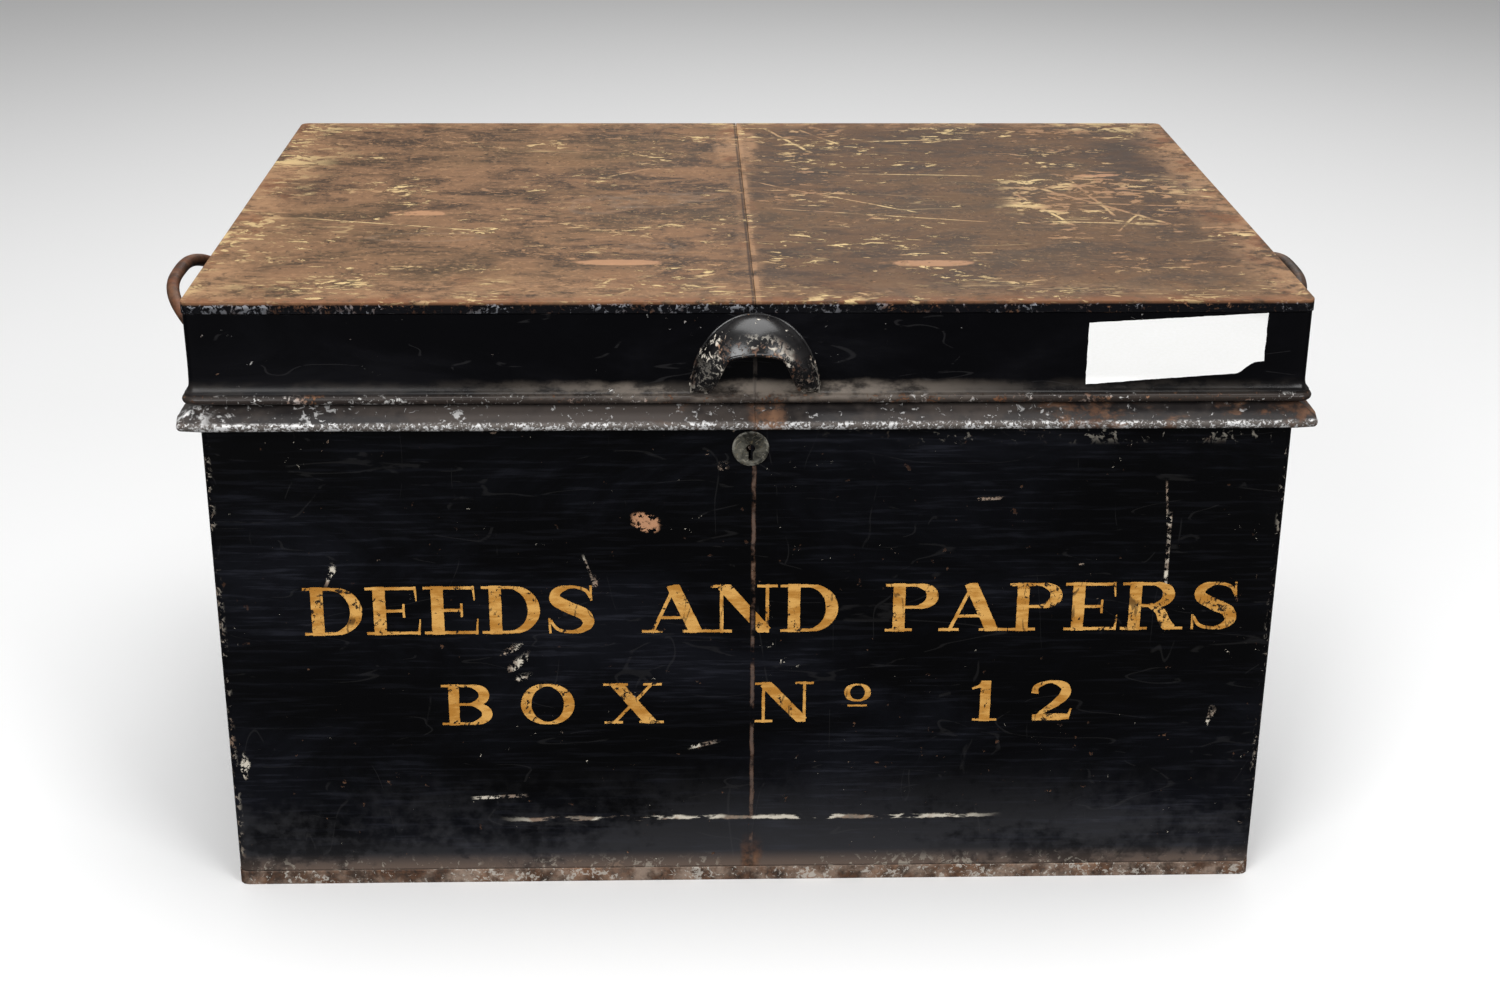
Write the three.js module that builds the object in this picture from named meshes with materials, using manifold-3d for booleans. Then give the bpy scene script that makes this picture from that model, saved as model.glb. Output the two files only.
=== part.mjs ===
// Deed box: a strong box of black sheet iron with a hinged lid, bail handles and a warded lock.
// Units are millimetres. +Z is up, the front faces -Y, and the origin is the middle of the base.

import * as THREE from 'three';
import { mergeVertices } from 'three/addons/utils/BufferGeometryUtils.js';
import Module from 'manifold-3d';

const wasm = await Module();
wasm.setup();

// Overall sizes
const bodyWidth = 601.6;
const bodyDepth = 421.1;
const bodyHeight = 302;
const lidHeight = 59;

// Sheet work
const sheet = 0.9;
const flatSheet = 1;
const touchGap = 0.3;
const seamX = 2;
const seamWidth = 8;
const bodyCorner = 5;
const lidCorner = 4;
const arcSteps = 3;

// Base rim and lid top rim, each folded over the edge of the wall
const foldSheet = 0.8;
const baseRimHeight = 8.7;
const baseRimProud = 0.45;
const lidRimHeight = 6.7;
const lidRimProud = 0.75;

// Lip of the body, which stands up inside the lid
const lipRise = 16.4;
const lipWire = 0.95;
const lidClearance = 3.45;

// Lower edge of the lid
const lidLift = 1.7;
const edgeWire = 1.2;
const edgeWireOut = 1.75;
const coveHeight = 8;

// Moulding round the mouth of the body
const mouldingOut = 12.4;
const mouldingDrop = 12.5;
const mouldingNose = 3.2;

// Finger hood on the lid
const hoodWidth = 71;
const hoodReach = 26.6;
const hoodSheet = 1;
const hoodSlope = 56;

// Hinges
const hingeX = 190;
const hingeWidth = 34;
const hingeSheet = 1.2;
const hingeKnuckle = 12;
const knuckleRadius = 3;
const hingePinRadius = 1.25;
const hingeDrop = 40;
const hingeRise = 37;
const hingeBack = 2;
const hingeUp = 0.7;
const hingeSide = 0.5;

// Rivets
const rivetRadius = 1.6;
const rivetHead = 3.2;
const rivetDome = 1.2;

// Bail handles
const handleY = 20;
const handleBelow = 39;
const handleHalf = 67.4;
const handleReach = 68.5;
const handleSquare = 2.8;
const handleRod = 4;
const handleTilt = 47;
const handleWallClear = 1.45;
const handlePin = 2.75;
const bracketWall = 1.6;
const bracketLength = 12;
const bracketHeight = 34;
const bracketSheet = 1.5;

// Lock
const keyholeBelow = 26.5;
const keyholeRadius = 2.5;
const keyholeSlot = 2.4;
const keyholeDrop = 7;
const escutcheonRadius = 10.2;
const escutcheonThick = 1.2;
const lockWidth = 90;
const lockHeight = 43;
const lockDepth = 14;
const lockPlate = 1.5;
const lockBelowKey = 17.5;
const boltThick = 4;
const boltHeight = 7;
const boltAboveKey = 12.5;
const boltLength = 34;
const boltThrow = 16;
const stapleWidth = 12;
const staplePlay = 0.5;
const stapleWall = 2;
const keyPinRadius = 1.5;

// Label
const labelLeft = 182;
const labelWidth = 98;
const labelHeight = 37;
const labelThick = 0.3;

// Sizes that follow from the ones above
const bodyHalfX = bodyWidth / 2;
const bodyHalfY = bodyDepth / 2;
const lidHalfX = bodyHalfX + lidClearance;
const lidHalfY = bodyHalfY + lidClearance;
const lidTop = bodyHeight + lidHeight;
const lidBottom = bodyHeight + lidLift;
const lidFlange = lidTop - lidRimHeight;
const lipTop = bodyHeight + lipRise;
const edgeRoll = edgeWire + touchGap + sheet / 2;
const edgeWireZ = lidBottom + edgeRoll + sheet / 2;
const coveTop = edgeWireZ + edgeRoll + sheet / 2 + coveHeight;
const frontInside = -bodyHalfY + sheet;
const hingeY = lidHalfY + hingeBack;
const hingeZ = lidBottom + hingeUp;
const handleAxis = bodyHalfX + handleRod + handleWallClear;
const handleZ = bodyHeight - handleBelow;
const keyholeZ = bodyHeight - keyholeBelow;
const coverFace = frontInside + touchGap;
const caseFront = coverFace + lockPlate + touchGap;
const caseBack = caseFront + lockDepth;
const lockBottom = keyholeZ - lockBelowKey;
const lockTop = lockBottom + lockHeight;
const boltY = (caseFront + caseBack - lockPlate) / 2;
const boltBottom = keyholeZ + boltAboveKey;
const boltMiddle = boltBottom + boltHeight / 2;
const boltNose = stapleWidth / 2 + 2;

// Materials
function finish(color, roughness, metalness) {
  return new THREE.MeshStandardMaterial({ color, roughness, metalness });
}

const japan = () => finish(0x17191c, 0.3, 0.15);
const dustyJapan = () => finish(0x5a554b, 0.55, 0.2);
const agedTop = () => finish(0x5b5233, 0.6, 0.25);
const rustyIron = () => finish(0x5d3a27, 0.75, 0.5);
const darkIron = () => finish(0x2b2a29, 0.5, 0.7);
const dullBrass = () => finish(0x7a7a5e, 0.55, 0.6);
const paper = () => finish(0xe4e1d8, 0.9, 0);

// Solids: joining and cutting
function solid(geometry) {
  const bare = geometry.clone();
  bare.deleteAttribute('normal');
  bare.deleteAttribute('uv');
  const merged = mergeVertices(bare, 1e-4);
  const vertProperties = Float32Array.from(merged.attributes.position.array);
  const triVerts = Uint32Array.from(merged.index.array);
  return new wasm.Manifold(new wasm.Mesh({ numProp: 3, vertProperties, triVerts }));
}

function shaped(body) {
  const mesh = body.getMesh();
  const geometry = new THREE.BufferGeometry();
  geometry.setAttribute('position', new THREE.BufferAttribute(mesh.vertProperties, 3));
  geometry.setIndex(new THREE.BufferAttribute(mesh.triVerts, 1));
  return geometry;
}

function join(...pieces) {
  return pieces.map(solid).reduce((sum, next) => sum.add(next));
}

function cut(body, ...tools) {
  return tools.map(solid).reduce((rest, tool) => rest.subtract(tool), body);
}

// Plain shapes
function block(x0, x1, y0, y1, z0, z1) {
  const geometry = new THREE.BoxGeometry(x1 - x0, y1 - y0, z1 - z0);
  return geometry.translate((x0 + x1) / 2, (y0 + y1) / 2, (z0 + z1) / 2);
}

function barAlongX(radius, x0, x1, y, z, sides = 16) {
  const geometry = new THREE.CylinderGeometry(radius, radius, x1 - x0, sides);
  return geometry.rotateZ(Math.PI / 2).translate((x0 + x1) / 2, y, z);
}

function barAlongY(radius, x, y0, y1, z, sides = 16) {
  const geometry = new THREE.CylinderGeometry(radius, radius, y1 - y0, sides);
  return geometry.translate(x, (y0 + y1) / 2, z);
}

function outline(points) {
  return new THREE.Shape(points.map(([x, y]) => new THREE.Vector2(x, y)));
}

// Points round an arc, angles in degrees
function arc(centreX, centreY, radius, from, to, steps) {
  const points = [];
  for (let i = 0; i <= steps; i += 1) {
    const angle = THREE.MathUtils.degToRad(from + ((to - from) * i) / steps);
    points.push([centreX + radius * Math.cos(angle), centreY + radius * Math.sin(angle)]);
  }
  return points;
}

// Sideways step at each point of a line, long enough to keep the width round a bend
function sideSteps(points) {
  return points.map((point, i) => {
    const before = i > 0 ? points[i].clone().sub(points[i - 1]).normalize() : null;
    const after = i < points.length - 1 ? points[i + 1].clone().sub(point).normalize() : null;
    const first = before ?? after;
    const second = after ?? before;
    const sum = new THREE.Vector2(-first.y - second.y, first.x + second.x);
    return sum.divideScalar(1 + first.dot(second));
  });
}

// Section of a bent sheet: the line through its middle, thickened to both sides
function bentSheet(line, thickness) {
  const points = line.map(([x, y]) => new THREE.Vector2(x, y));
  const sides = sideSteps(points);
  const offset = (amount) => points.map((p, i) => p.clone().addScaledVector(sides[i], amount));
  return new THREE.Shape([...offset(thickness / 2), ...offset(-thickness / 2).reverse()]);
}

// Route in plan with its inner corners rounded
function roundCorners(corners, radius) {
  const route = [corners[0]];
  for (let i = 1; i < corners.length - 1; i += 1) {
    const back = corners[i - 1].clone().sub(corners[i]).normalize();
    const ahead = corners[i + 1].clone().sub(corners[i]).normalize();
    const centre = corners[i].clone().addScaledVector(back, radius).addScaledVector(ahead, radius);
    for (let k = 0; k <= arcSteps; k += 1) {
      const angle = ((Math.PI / 2) * k) / arcSteps;
      const point = centre.clone().addScaledVector(ahead, -radius * Math.cos(angle));
      route.push(point.addScaledVector(back, -radius * Math.sin(angle)));
    }
  }
  route.push(corners[corners.length - 1]);
  return route;
}

// Half of the rectangle, from the front seam round one end to the back seam, clockwise from above
function halfRoute(side, halfX, halfY, radius, startX = seamX + (side * touchGap) / 2) {
  const corners = [
    new THREE.Vector2(startX, side * halfY),
    new THREE.Vector2(side * halfX, side * halfY),
    new THREE.Vector2(side * halfX, -side * halfY),
    new THREE.Vector2(startX, -side * halfY),
  ];
  return roundCorners(corners, radius);
}

// Sweeps a section along a route. The section's x is outward and its y is up.
// A mitred end turns a square corner with the next piece.
function sweep(section, route, mitreStart = false, mitreEnd = false) {
  const steps = route.length - 1;
  const options = { depth: steps, steps, bevelEnabled: false, curveSegments: 3 };
  const geometry = new THREE.ExtrudeGeometry(section, options);
  const sides = sideSteps(route);
  if (mitreStart) {
    sides[0].sub(route[1].clone().sub(route[0]).normalize());
  }
  if (mitreEnd) {
    sides[steps].add(route[steps].clone().sub(route[steps - 1]).normalize());
  }
  const position = geometry.attributes.position;
  for (let i = 0; i < position.count; i += 1) {
    const k = Math.round(position.getZ(i));
    const out = position.getX(i);
    const x = route[k].x + sides[k].x * out;
    const y = route[k].y + sides[k].y * out;
    position.setXYZ(i, x, y, position.getY(i));
  }
  return geometry;
}

// Flat plate with the outline of a closed route
function plate(route, bottom, top) {
  const options = { depth: top - bottom, bevelEnabled: false };
  return new THREE.ExtrudeGeometry(new THREE.Shape(route), options).translate(0, 0, bottom);
}

// Closed rectangle with rounded corners
function ring(halfX, halfY, radius) {
  return [...halfRoute(-1, halfX, halfY, radius, 0), ...halfRoute(1, halfX, halfY, radius, 0)]
    .filter((point) => point.x !== 0);
}

// Rivet along its own Y, from an outer head at zero to a head behind the stack it holds
function rivet(grip, flush) {
  const low = flush ? 0 : -touchGap;
  const high = grip + touchGap;
  const outerHead = [
    [0, low - rivetDome],
    [rivetHead * 0.6, low - rivetDome],
    [rivetHead, low],
  ];
  const profile = [
    ...(flush ? [[0, low]] : outerHead),
    [rivetRadius, low],
    [rivetRadius, high],
    [rivetHead, high],
    [rivetHead * 0.6, high + rivetDome],
    [0, high + rivetDome],
  ];
  return new THREE.LatheGeometry(profile.map(([x, y]) => new THREE.Vector2(x, y)), 8);
}

const rivetHole = rivetRadius + touchGap;

// Body
function bodyWallLine() {
  const joggle = foldSheet - baseRimProud + touchGap;
  const roll = lipWire + touchGap + sheet / 2;
  return [
    [-joggle - sheet / 2, flatSheet + touchGap],
    [-joggle - sheet / 2, baseRimHeight + touchGap],
    [-sheet / 2, baseRimHeight + touchGap + joggle],
    ...arc(-sheet / 2 - roll, lipTop - roll - sheet / 2, roll, 0, 225, 8),
  ];
}

function keyhole(face, depth) {
  const hole = barAlongY(keyholeRadius, 0, face, face + depth, keyholeZ, 20);
  const slot = keyholeSlot / 2;
  const drop = block(-slot, slot, face, face + depth, keyholeZ - keyholeDrop, keyholeZ);
  return [hole, drop];
}

function hingeHoles(face, z) {
  const holes = [];
  for (const side of [-1, 1]) {
    for (const step of [-1, 1]) {
      const x = side * hingeX + step * hingeWidth * 0.3;
      holes.push(barAlongY(rivetHole, x, face - 3, face + 3, z, 8));
    }
  }
  return holes;
}

const bodyLeafRivetZ = bodyHeight - hingeDrop * 0.72;
const lidLeafRivetZ = coveTop + (hingeRise - (coveTop - hingeZ)) * 0.5;

function bracketPlaces(side) {
  const inset = handleHalf - handleRod - touchGap - bracketLength / 2;
  return [handleY - inset, handleY + inset].map((y) => ({ side, y }));
}

const bracketRivetStep = bracketHeight * 0.36;

function bracketHoles(side) {
  const holes = [];
  for (const { y } of bracketPlaces(side)) {
    for (const step of [-1, 1]) {
      const z = handleZ + step * bracketRivetStep;
      const x = side * bodyHalfX;
      holes.push(barAlongX(rivetHole, x - 4, x + 4, y, z, 8));
    }
  }
  return holes;
}

function bodyShell(side) {
  const route = halfRoute(side, bodyHalfX, bodyHalfY, bodyCorner);
  const wall = sweep(bentSheet(bodyWallLine(), sheet), route);
  const holes = [...keyhole(-bodyHalfY - 3, 8), ...bracketHoles(side)];
  return shaped(cut(solid(wall), ...holes, ...hingeHoles(bodyHalfY, bodyLeafRivetZ)));
}

function bodySeam(front) {
  const inside = bodyHalfY - sheet - touchGap;
  const top = front ? lockBottom - touchGap : bodyHeight;
  const y = front ? -inside : inside - flatSheet;
  const bottom = baseRimHeight * 2;
  return block(seamX - seamWidth / 2, seamX + seamWidth / 2, y, y + flatSheet, bottom, top);
}

function basePan() {
  const outX = bodyHalfX + baseRimProud;
  const outY = bodyHalfY + baseRimProud;
  const outer = plate(ring(outX, outY, bodyCorner + baseRimProud), 0, baseRimHeight);
  const inX = outX - foldSheet;
  const inY = outY - foldSheet;
  const radius = bodyCorner + baseRimProud - foldSheet;
  const inner = plate(ring(inX, inY, radius), flatSheet, baseRimHeight + 1);
  return shaped(cut(solid(outer), inner));
}

// Wire laid in a rolled edge, with its two ends a little apart at the back
function wireLoop(radius, halfX, halfY, corner, z, leftX, rightX) {
  const corners = [
    new THREE.Vector2(rightX, halfY),
    new THREE.Vector2(halfX, halfY),
    new THREE.Vector2(halfX, -halfY),
    new THREE.Vector2(-halfX, -halfY),
    new THREE.Vector2(-halfX, halfY),
    new THREE.Vector2(leftX, halfY),
  ];
  const section = outline(arc(0, z, radius, 0, 360, 8).slice(0, -1));
  return sweep(section, roundCorners(corners, corner));
}

function mouthWire() {
  const inward = sheet + lipWire + touchGap;
  const z = lipTop - inward;
  const corner = bodyCorner - inward;
  const leftX = seamX - touchGap;
  return wireLoop(lipWire, bodyHalfX - inward, bodyHalfY - inward, corner, z, leftX, seamX + touchGap);
}

function mouldingSection() {
  const nose = mouldingNose - sheet / 2;
  const noseX = mouldingOut - mouldingNose;
  const noseZ = bodyHeight - mouldingDrop + mouldingNose;
  const line = [
    [touchGap + sheet / 2, bodyHeight - sheet / 2],
    ...arc(noseX, noseZ, nose, 62, -90, 6),
    [touchGap + sheet / 2, noseZ - nose],
  ];
  return bentSheet(line, sheet);
}

function mouldingRun(fromX, fromY, toX, toY, mitreStart, mitreEnd) {
  const route = [new THREE.Vector2(fromX, fromY), new THREE.Vector2(toX, toY)];
  return sweep(mouldingSection(), route, mitreStart, mitreEnd);
}

const mitreGap = touchGap * 0.75;

function frontMoulding(side) {
  const inner = seamX + (side * touchGap) / 2;
  const outer = side * (bodyHalfX - mitreGap);
  return side < 0
    ? mouldingRun(inner, -bodyHalfY, outer, -bodyHalfY, false, true)
    : mouldingRun(outer, -bodyHalfY, inner, -bodyHalfY, true, false);
}

function endMoulding(side) {
  const reach = bodyHalfY - mitreGap;
  return mouldingRun(side * bodyHalfX, side * reach, side * bodyHalfX, -side * reach, true, true);
}

function backMoulding() {
  const reach = bodyHalfX - mitreGap;
  const run = mouldingRun(-reach, bodyHalfY, reach, bodyHalfY, true, true);
  const depth = bodyHalfY + touchGap + hingeSheet + hingeSide;
  const half = hingeWidth / 2 + hingeSide;
  const low = bodyHeight - mouldingDrop - 1;
  const high = bodyHeight + 1;
  const notches = [-1, 1].map((side) => {
    const x = side * hingeX;
    return block(x - half, x + half, bodyHalfY - 1, depth, low, high);
  });
  return shaped(cut(solid(run), ...notches));
}

// Hinges
function bodyLeaf(side) {
  const x = side * hingeX;
  const inner = bodyHalfY + touchGap;
  const outer = inner + hingeSheet;
  const half = hingeWidth / 2;
  const strap = block(x - half, x + half, inner, outer, bodyHeight - hingeDrop, hingeZ);
  const middle = hingeKnuckle / 2;
  const thick = hingeSheet;
  const arm = block(x - middle, x + middle, outer - thick, hingeY, hingeZ - thick, hingeZ + thick);
  const knuckle = barAlongX(knuckleRadius, x - middle, x + middle, hingeY, hingeZ);
  const bore = barAlongX(hingePinRadius + touchGap, x - half, x + half, hingeY, hingeZ);
  return shaped(cut(join(strap, arm, knuckle), bore, ...hingeHoles(bodyHalfY, bodyLeafRivetZ)));
}

function lidLeaf(side) {
  const x = side * hingeX;
  const inner = lidHalfY + touchGap;
  const half = hingeWidth / 2;
  const strap = block(x - half, x + half, inner, inner + hingeSheet, hingeZ, hingeZ + hingeRise);
  const knuckles = barAlongX(knuckleRadius, x - half, x + half, hingeY, hingeZ);
  const bore = barAlongX(hingePinRadius + touchGap, x - half - 1, x + half + 1, hingeY, hingeZ);
  const middle = hingeKnuckle / 2 + touchGap;
  const clear = knuckleRadius + hingeSide;
  const room = block(x - middle, x + middle, hingeY - 9, hingeY + 9, hingeZ - 9, hingeZ + clear);
  return shaped(cut(join(strap, knuckles), bore, room, ...hingeHoles(lidHalfY, lidLeafRivetZ)));
}

function hingePin(side) {
  const half = hingeWidth / 2 + hingeSide;
  const x = side * hingeX;
  return barAlongX(hingePinRadius, x - half, x + half, hingeY, hingeZ, 12);
}

// Lid
function lidTopHalf(side) {
  const outX = lidHalfX + lidRimProud;
  const outY = lidHalfY + lidRimProud;
  const outer = halfRoute(side, outX, outY, lidCorner + lidRimProud);
  const radius = lidCorner + lidRimProud - foldSheet;
  const inner = halfRoute(side, outX - foldSheet, outY - foldSheet, radius, seamX - side);
  const hollow = plate(inner, lidFlange - 1, lidTop - flatSheet);
  return shaped(cut(solid(plate(outer, lidFlange, lidTop)), hollow));
}

function lidWallLine() {
  const joggle = foldSheet - lidRimProud + touchGap;
  const cove = new THREE.QuadraticBezierCurve(
    new THREE.Vector2(-sheet / 2, coveTop),
    new THREE.Vector2(-sheet / 2, coveTop - coveHeight * 0.65),
    new THREE.Vector2(edgeWireOut + edgeRoll * 0.2, coveTop - coveHeight + sheet),
  );
  return [
    [-joggle - sheet / 2, lidTop - flatSheet - touchGap],
    [-joggle - sheet / 2, lidFlange - touchGap],
    [-sheet / 2, lidFlange - touchGap - joggle],
    ...cove.getPoints(4).map((point) => [point.x, point.y]),
    ...arc(edgeWireOut, edgeWireZ, edgeRoll, 70, -235, 10),
  ];
}

function hingeNotches() {
  const half = hingeWidth / 2 + hingeSide * 2;
  const top = coveTop + touchGap;
  return [-1, 1].map((side) => {
    const x = side * hingeX;
    return block(x - half, x + half, lidHalfY - 5, lidHalfY + 9, lidBottom - 2, top);
  });
}

function lidRim(side) {
  const route = halfRoute(side, lidHalfX, lidHalfY, lidCorner);
  const wall = sweep(bentSheet(lidWallLine(), sheet), route);
  const holes = [...hingeHoles(lidHalfY, lidLeafRivetZ), ...stapleHoles()];
  return shaped(cut(solid(wall), ...hingeNotches(), ...holes));
}

function lidWallSeam(front) {
  const inside = lidHalfY - sheet - touchGap;
  const y = front ? -inside : inside - flatSheet;
  const half = seamWidth / 2;
  return block(seamX - half, seamX + half, y, y + flatSheet, coveTop, lidFlange - sheet);
}

function lidTopSeam() {
  const reach = lidHalfY - sheet * 2 - flatSheet - touchGap * 2;
  const top = lidTop - flatSheet - touchGap;
  const half = seamWidth / 2;
  return block(seamX - half, seamX + half, -reach, reach, top - flatSheet, top);
}

function lidEdgeWire() {
  const start = hingeX + hingeWidth / 2 + hingeSide * 4;
  const halfX = lidHalfX + edgeWireOut;
  const halfY = lidHalfY + edgeWireOut;
  return wireLoop(edgeWire, halfX, halfY, lidCorner + edgeWireOut, edgeWireZ, -start, start);
}

// Egg-shaped shell, cut off by the wall behind it and by the sloping mouth below
function fingerHood() {
  const base = edgeWireZ + 1;
  const height = lidFlange - touchGap - base;
  const egg = (thinner) => new THREE.SphereGeometry(1, 32, 20)
    .scale(hoodWidth / 2 - thinner, hoodReach - thinner, height - thinner)
    .translate(seamX, -lidHalfY, base);
  const shell = solid(egg(0)).subtract(solid(egg(hoodSheet)));
  const size = hoodWidth * 2;
  const below = new THREE.BoxGeometry(size, size * 2, size).translate(0, 0, -size / 2);
  below.rotateX(-THREE.MathUtils.degToRad(hoodSlope)).translate(seamX, -lidHalfY, base);
  const bead = edgeWireOut + edgeRoll + sheet / 2 + touchGap;
  const seat = outline([
    [-size, lidBottom - size],
    [bead, lidBottom - size],
    [bead, edgeWireZ + edgeRoll],
    [bead - 1.4, coveTop - coveHeight + 1.4],
    [bead - 3.2, coveTop - coveHeight + 4],
    [touchGap, coveTop],
    [touchGap, lidTop + size],
    [-size, lidTop + size],
  ]);
  const reach = hoodWidth / 2 + 5;
  const front = [
    new THREE.Vector2(seamX + reach, -lidHalfY),
    new THREE.Vector2(seamX - reach, -lidHalfY),
  ];
  return shaped(cut(shell, below, sweep(seat, front)));
}

// Lock
function escutcheon() {
  const outer = -bodyHalfY - touchGap - escutcheonThick;
  const disc = barAlongY(escutcheonRadius, 0, outer, outer + escutcheonThick, keyholeZ, 32);
  return shaped(cut(solid(disc), ...keyhole(outer - 1, escutcheonThick + 2)));
}

const lockRivetX = lockWidth / 2 - 8;
const lockRivetZ = lockBottom + 7;

function lockRivetHoles(y0, y1) {
  return [-1, 1].map((side) => barAlongY(rivetHole, side * lockRivetX, y0, y1, lockRivetZ, 8));
}

function lockCover() {
  const half = lockWidth / 2;
  const back = coverFace + lockPlate;
  const cover = block(-half, half, coverFace, back, lockBottom, lockTop);
  const holes = [...keyhole(coverFace - 1, lockPlate + 2), ...lockRivetHoles(coverFace - 1, back + 1)];
  return shaped(cut(solid(cover), ...holes));
}

const boltStudX = boltNose + boltThrow / 2 - 1;
const boltStudRadius = 1.4;

function lockCase() {
  const half = lockWidth / 2;
  const wall = lockPlate;
  const box = block(-half, half, caseFront, caseBack, lockBottom, lockTop);
  const inside = half - wall;
  const back = caseBack - wall;
  const hollow = block(-inside, inside, caseFront - 1, back, lockBottom + wall, lockTop - wall);
  const slotX = stapleWidth / 2 + staplePlay * 3;
  const slotY = boltThick / 2 + stapleWall + staplePlay * 4;
  const slot = block(-slotX, slotX, boltY - slotY, boltY + slotY, lockTop - wall - 1, lockTop + 1);
  const pinHole = barAlongY(keyPinRadius + touchGap, 0, back - 1, caseBack + 1, keyholeZ, 12);
  const holes = lockRivetHoles(back - 1, caseBack + 1);
  const empty = cut(solid(box), hollow, slot, pinHole, ...holes);
  const studFront = boltY - boltThick / 2 - 1;
  const stud = barAlongY(boltStudRadius, boltStudX, studFront, back + wall / 2, boltMiddle, 12);
  return shaped(empty.add(solid(stud)));
}

function lockBolt() {
  const y0 = boltY - boltThick / 2;
  const y1 = boltY + boltThick / 2;
  const top = boltBottom + boltHeight;
  const tail = boltNose + boltLength;
  const bar = block(boltNose, tail, y0, y1, boltBottom, top);
  const armTop = boltBottom - stapleWall - staplePlay * 3;
  const armBottom = armTop - 4.7;
  const linkX = boltNose + boltLength * 0.55;
  const link = block(linkX, linkX + 8, y0, y1, armBottom, boltBottom + 1);
  const arm = block(-4, linkX + 1, y0, y1, armBottom, armTop);
  const talon = block(3, 10, y0 - 1, y1 + 1, armBottom - 1, armBottom + 3);
  const play = boltStudRadius + touchGap;
  const slotEnd = boltStudX + boltThrow + play + staplePlay;
  const slotStart = boltStudX - play - staplePlay;
  const slot = block(slotStart, slotEnd, y0 - 1, y1 + 1, boltMiddle - play, boltMiddle + play);
  return shaped(cut(join(bar, link, arm), talon, slot));
}

function boltSpring() {
  const top = lockTop - lockPlate - touchGap - 0.3;
  const low = boltBottom + boltHeight + touchGap + 0.3;
  const left = boltNose + boltLength * 0.4;
  const right = lockWidth / 2 - lockPlate - touchGap;
  const line = [
    [left, low + 1],
    [left + 3, low],
    [right - 7, top],
    [right, top],
  ];
  const width = boltThick - 1;
  const strip = new THREE.ExtrudeGeometry(bentSheet(line, 0.5), { depth: width, bevelEnabled: false });
  return strip.rotateX(Math.PI / 2).translate(0, boltY + width / 2, 0);
}

function keyPin() {
  const front = coverFace - touchGap * 0.5;
  const shank = barAlongY(keyPinRadius, 0, front, caseBack + touchGap + 0.5, keyholeZ, 12);
  const head = barAlongY(keyPinRadius * 2, 0, caseBack + touchGap, caseBack + touchGap + 1, keyholeZ, 12);
  return shaped(join(shank, head));
}

const stapleRivetX = 11;
const stapleRivetZ = lipTop + 18;
const staplePlateHalf = stapleRivetX + 5;

function stapleHoles() {
  return [-1, 1].map((side) => {
    const face = -lidHalfY;
    return barAlongY(rivetHole, side * stapleRivetX, face - 3, face + 8, stapleRivetZ, 8);
  });
}

// Plate inside the lid, stepped back over the lip, with the loop that the bolt enters
function lockStaple() {
  const face = -lidHalfY + sheet + touchGap * 2 + flatSheet;
  const half = stapleWidth / 2;
  const step = lipTop + 2.5;
  const frontY = boltY - boltThick / 2 - staplePlay - stapleWall;
  const backY = boltY + boltThick / 2 + staplePlay + stapleWall;
  const loopBottom = boltBottom - staplePlay - stapleWall;
  const high = stapleRivetZ + 7;
  const mount = block(-staplePlateHalf, staplePlateHalf, face, face + lockPlate, step, high);
  const shelf = block(-half, half, face, backY, step, step + stapleWall);
  const loop = block(-half, half, frontY, backY, loopBottom, step + 1);
  const eyeTop = step - stapleWall;
  const eye = block(-half - 1, half + 1, frontY + stapleWall, backY - stapleWall, boltBottom - staplePlay, eyeTop);
  return shaped(cut(join(mount, shelf, loop), eye, ...stapleHoles()));
}

// Handles
function handleBail(side) {
  const points = [];
  const steps = 36;
  for (let i = 0; i <= steps; i += 1) {
    const angle = (Math.PI * i) / steps;
    const across = Math.sign(Math.cos(angle)) * Math.abs(Math.cos(angle)) ** (2 / handleSquare);
    const out = Math.abs(Math.sin(angle)) ** (2 / handleSquare);
    points.push(new THREE.Vector3(0, across * handleHalf, out * handleReach));
  }
  const below = handleRod * 0.75;
  points[0].z = -below;
  points[steps].z = -below;
  const path = new THREE.CatmullRomCurve3(points);
  const section = outline(arc(0, 0, handleRod, 0, 360, 10).slice(0, -1));
  const rod = new THREE.ExtrudeGeometry(section, { steps: 40, extrudePath: path, bevelEnabled: false });
  const start = handleHalf - handleRod - bracketLength - touchGap - 1;
  const pins = [-1, 1].map((end) => {
    const from = Math.min(end * start, end * handleHalf);
    return barAlongY(handlePin, 0, from, from + handleHalf - start, 0, 12);
  });
  return shaped(join(rod, ...pins));
}

function handleBracket(place) {
  const sign = place.side;
  const inner = bodyHalfX + touchGap;
  const half = bracketLength / 2;
  const x0 = Math.min(sign * inner, sign * (inner + bracketSheet));
  const low = handleZ - bracketHeight / 2;
  const high = handleZ + bracketHeight / 2;
  const back = block(x0, x0 + bracketSheet, place.y - half, place.y + half, low, high);
  const radius = handlePin + touchGap + bracketWall;
  const barrel = barAlongY(radius, sign * handleAxis, place.y - half, place.y + half, handleZ);
  const middle = sign * (inner + handleAxis) / 2;
  const webHalf = (handleAxis - inner) / 2;
  const web = block(middle - webHalf, middle + webHalf, place.y - half, place.y + half, handleZ - 3, handleZ + 3);
  const reach = half + 1;
  const bore = barAlongY(handlePin + touchGap, sign * handleAxis, place.y - reach, place.y + reach, handleZ);
  return shaped(cut(join(back, barrel, web), bore, ...bracketHoles(sign)));
}

// Label
function paperLabel() {
  const outer = -lidHalfY - touchGap - labelThick;
  const bottom = coveTop + touchGap;
  return block(labelLeft, labelLeft + labelWidth, outer, outer + labelThick, bottom, bottom + labelHeight);
}

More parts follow.
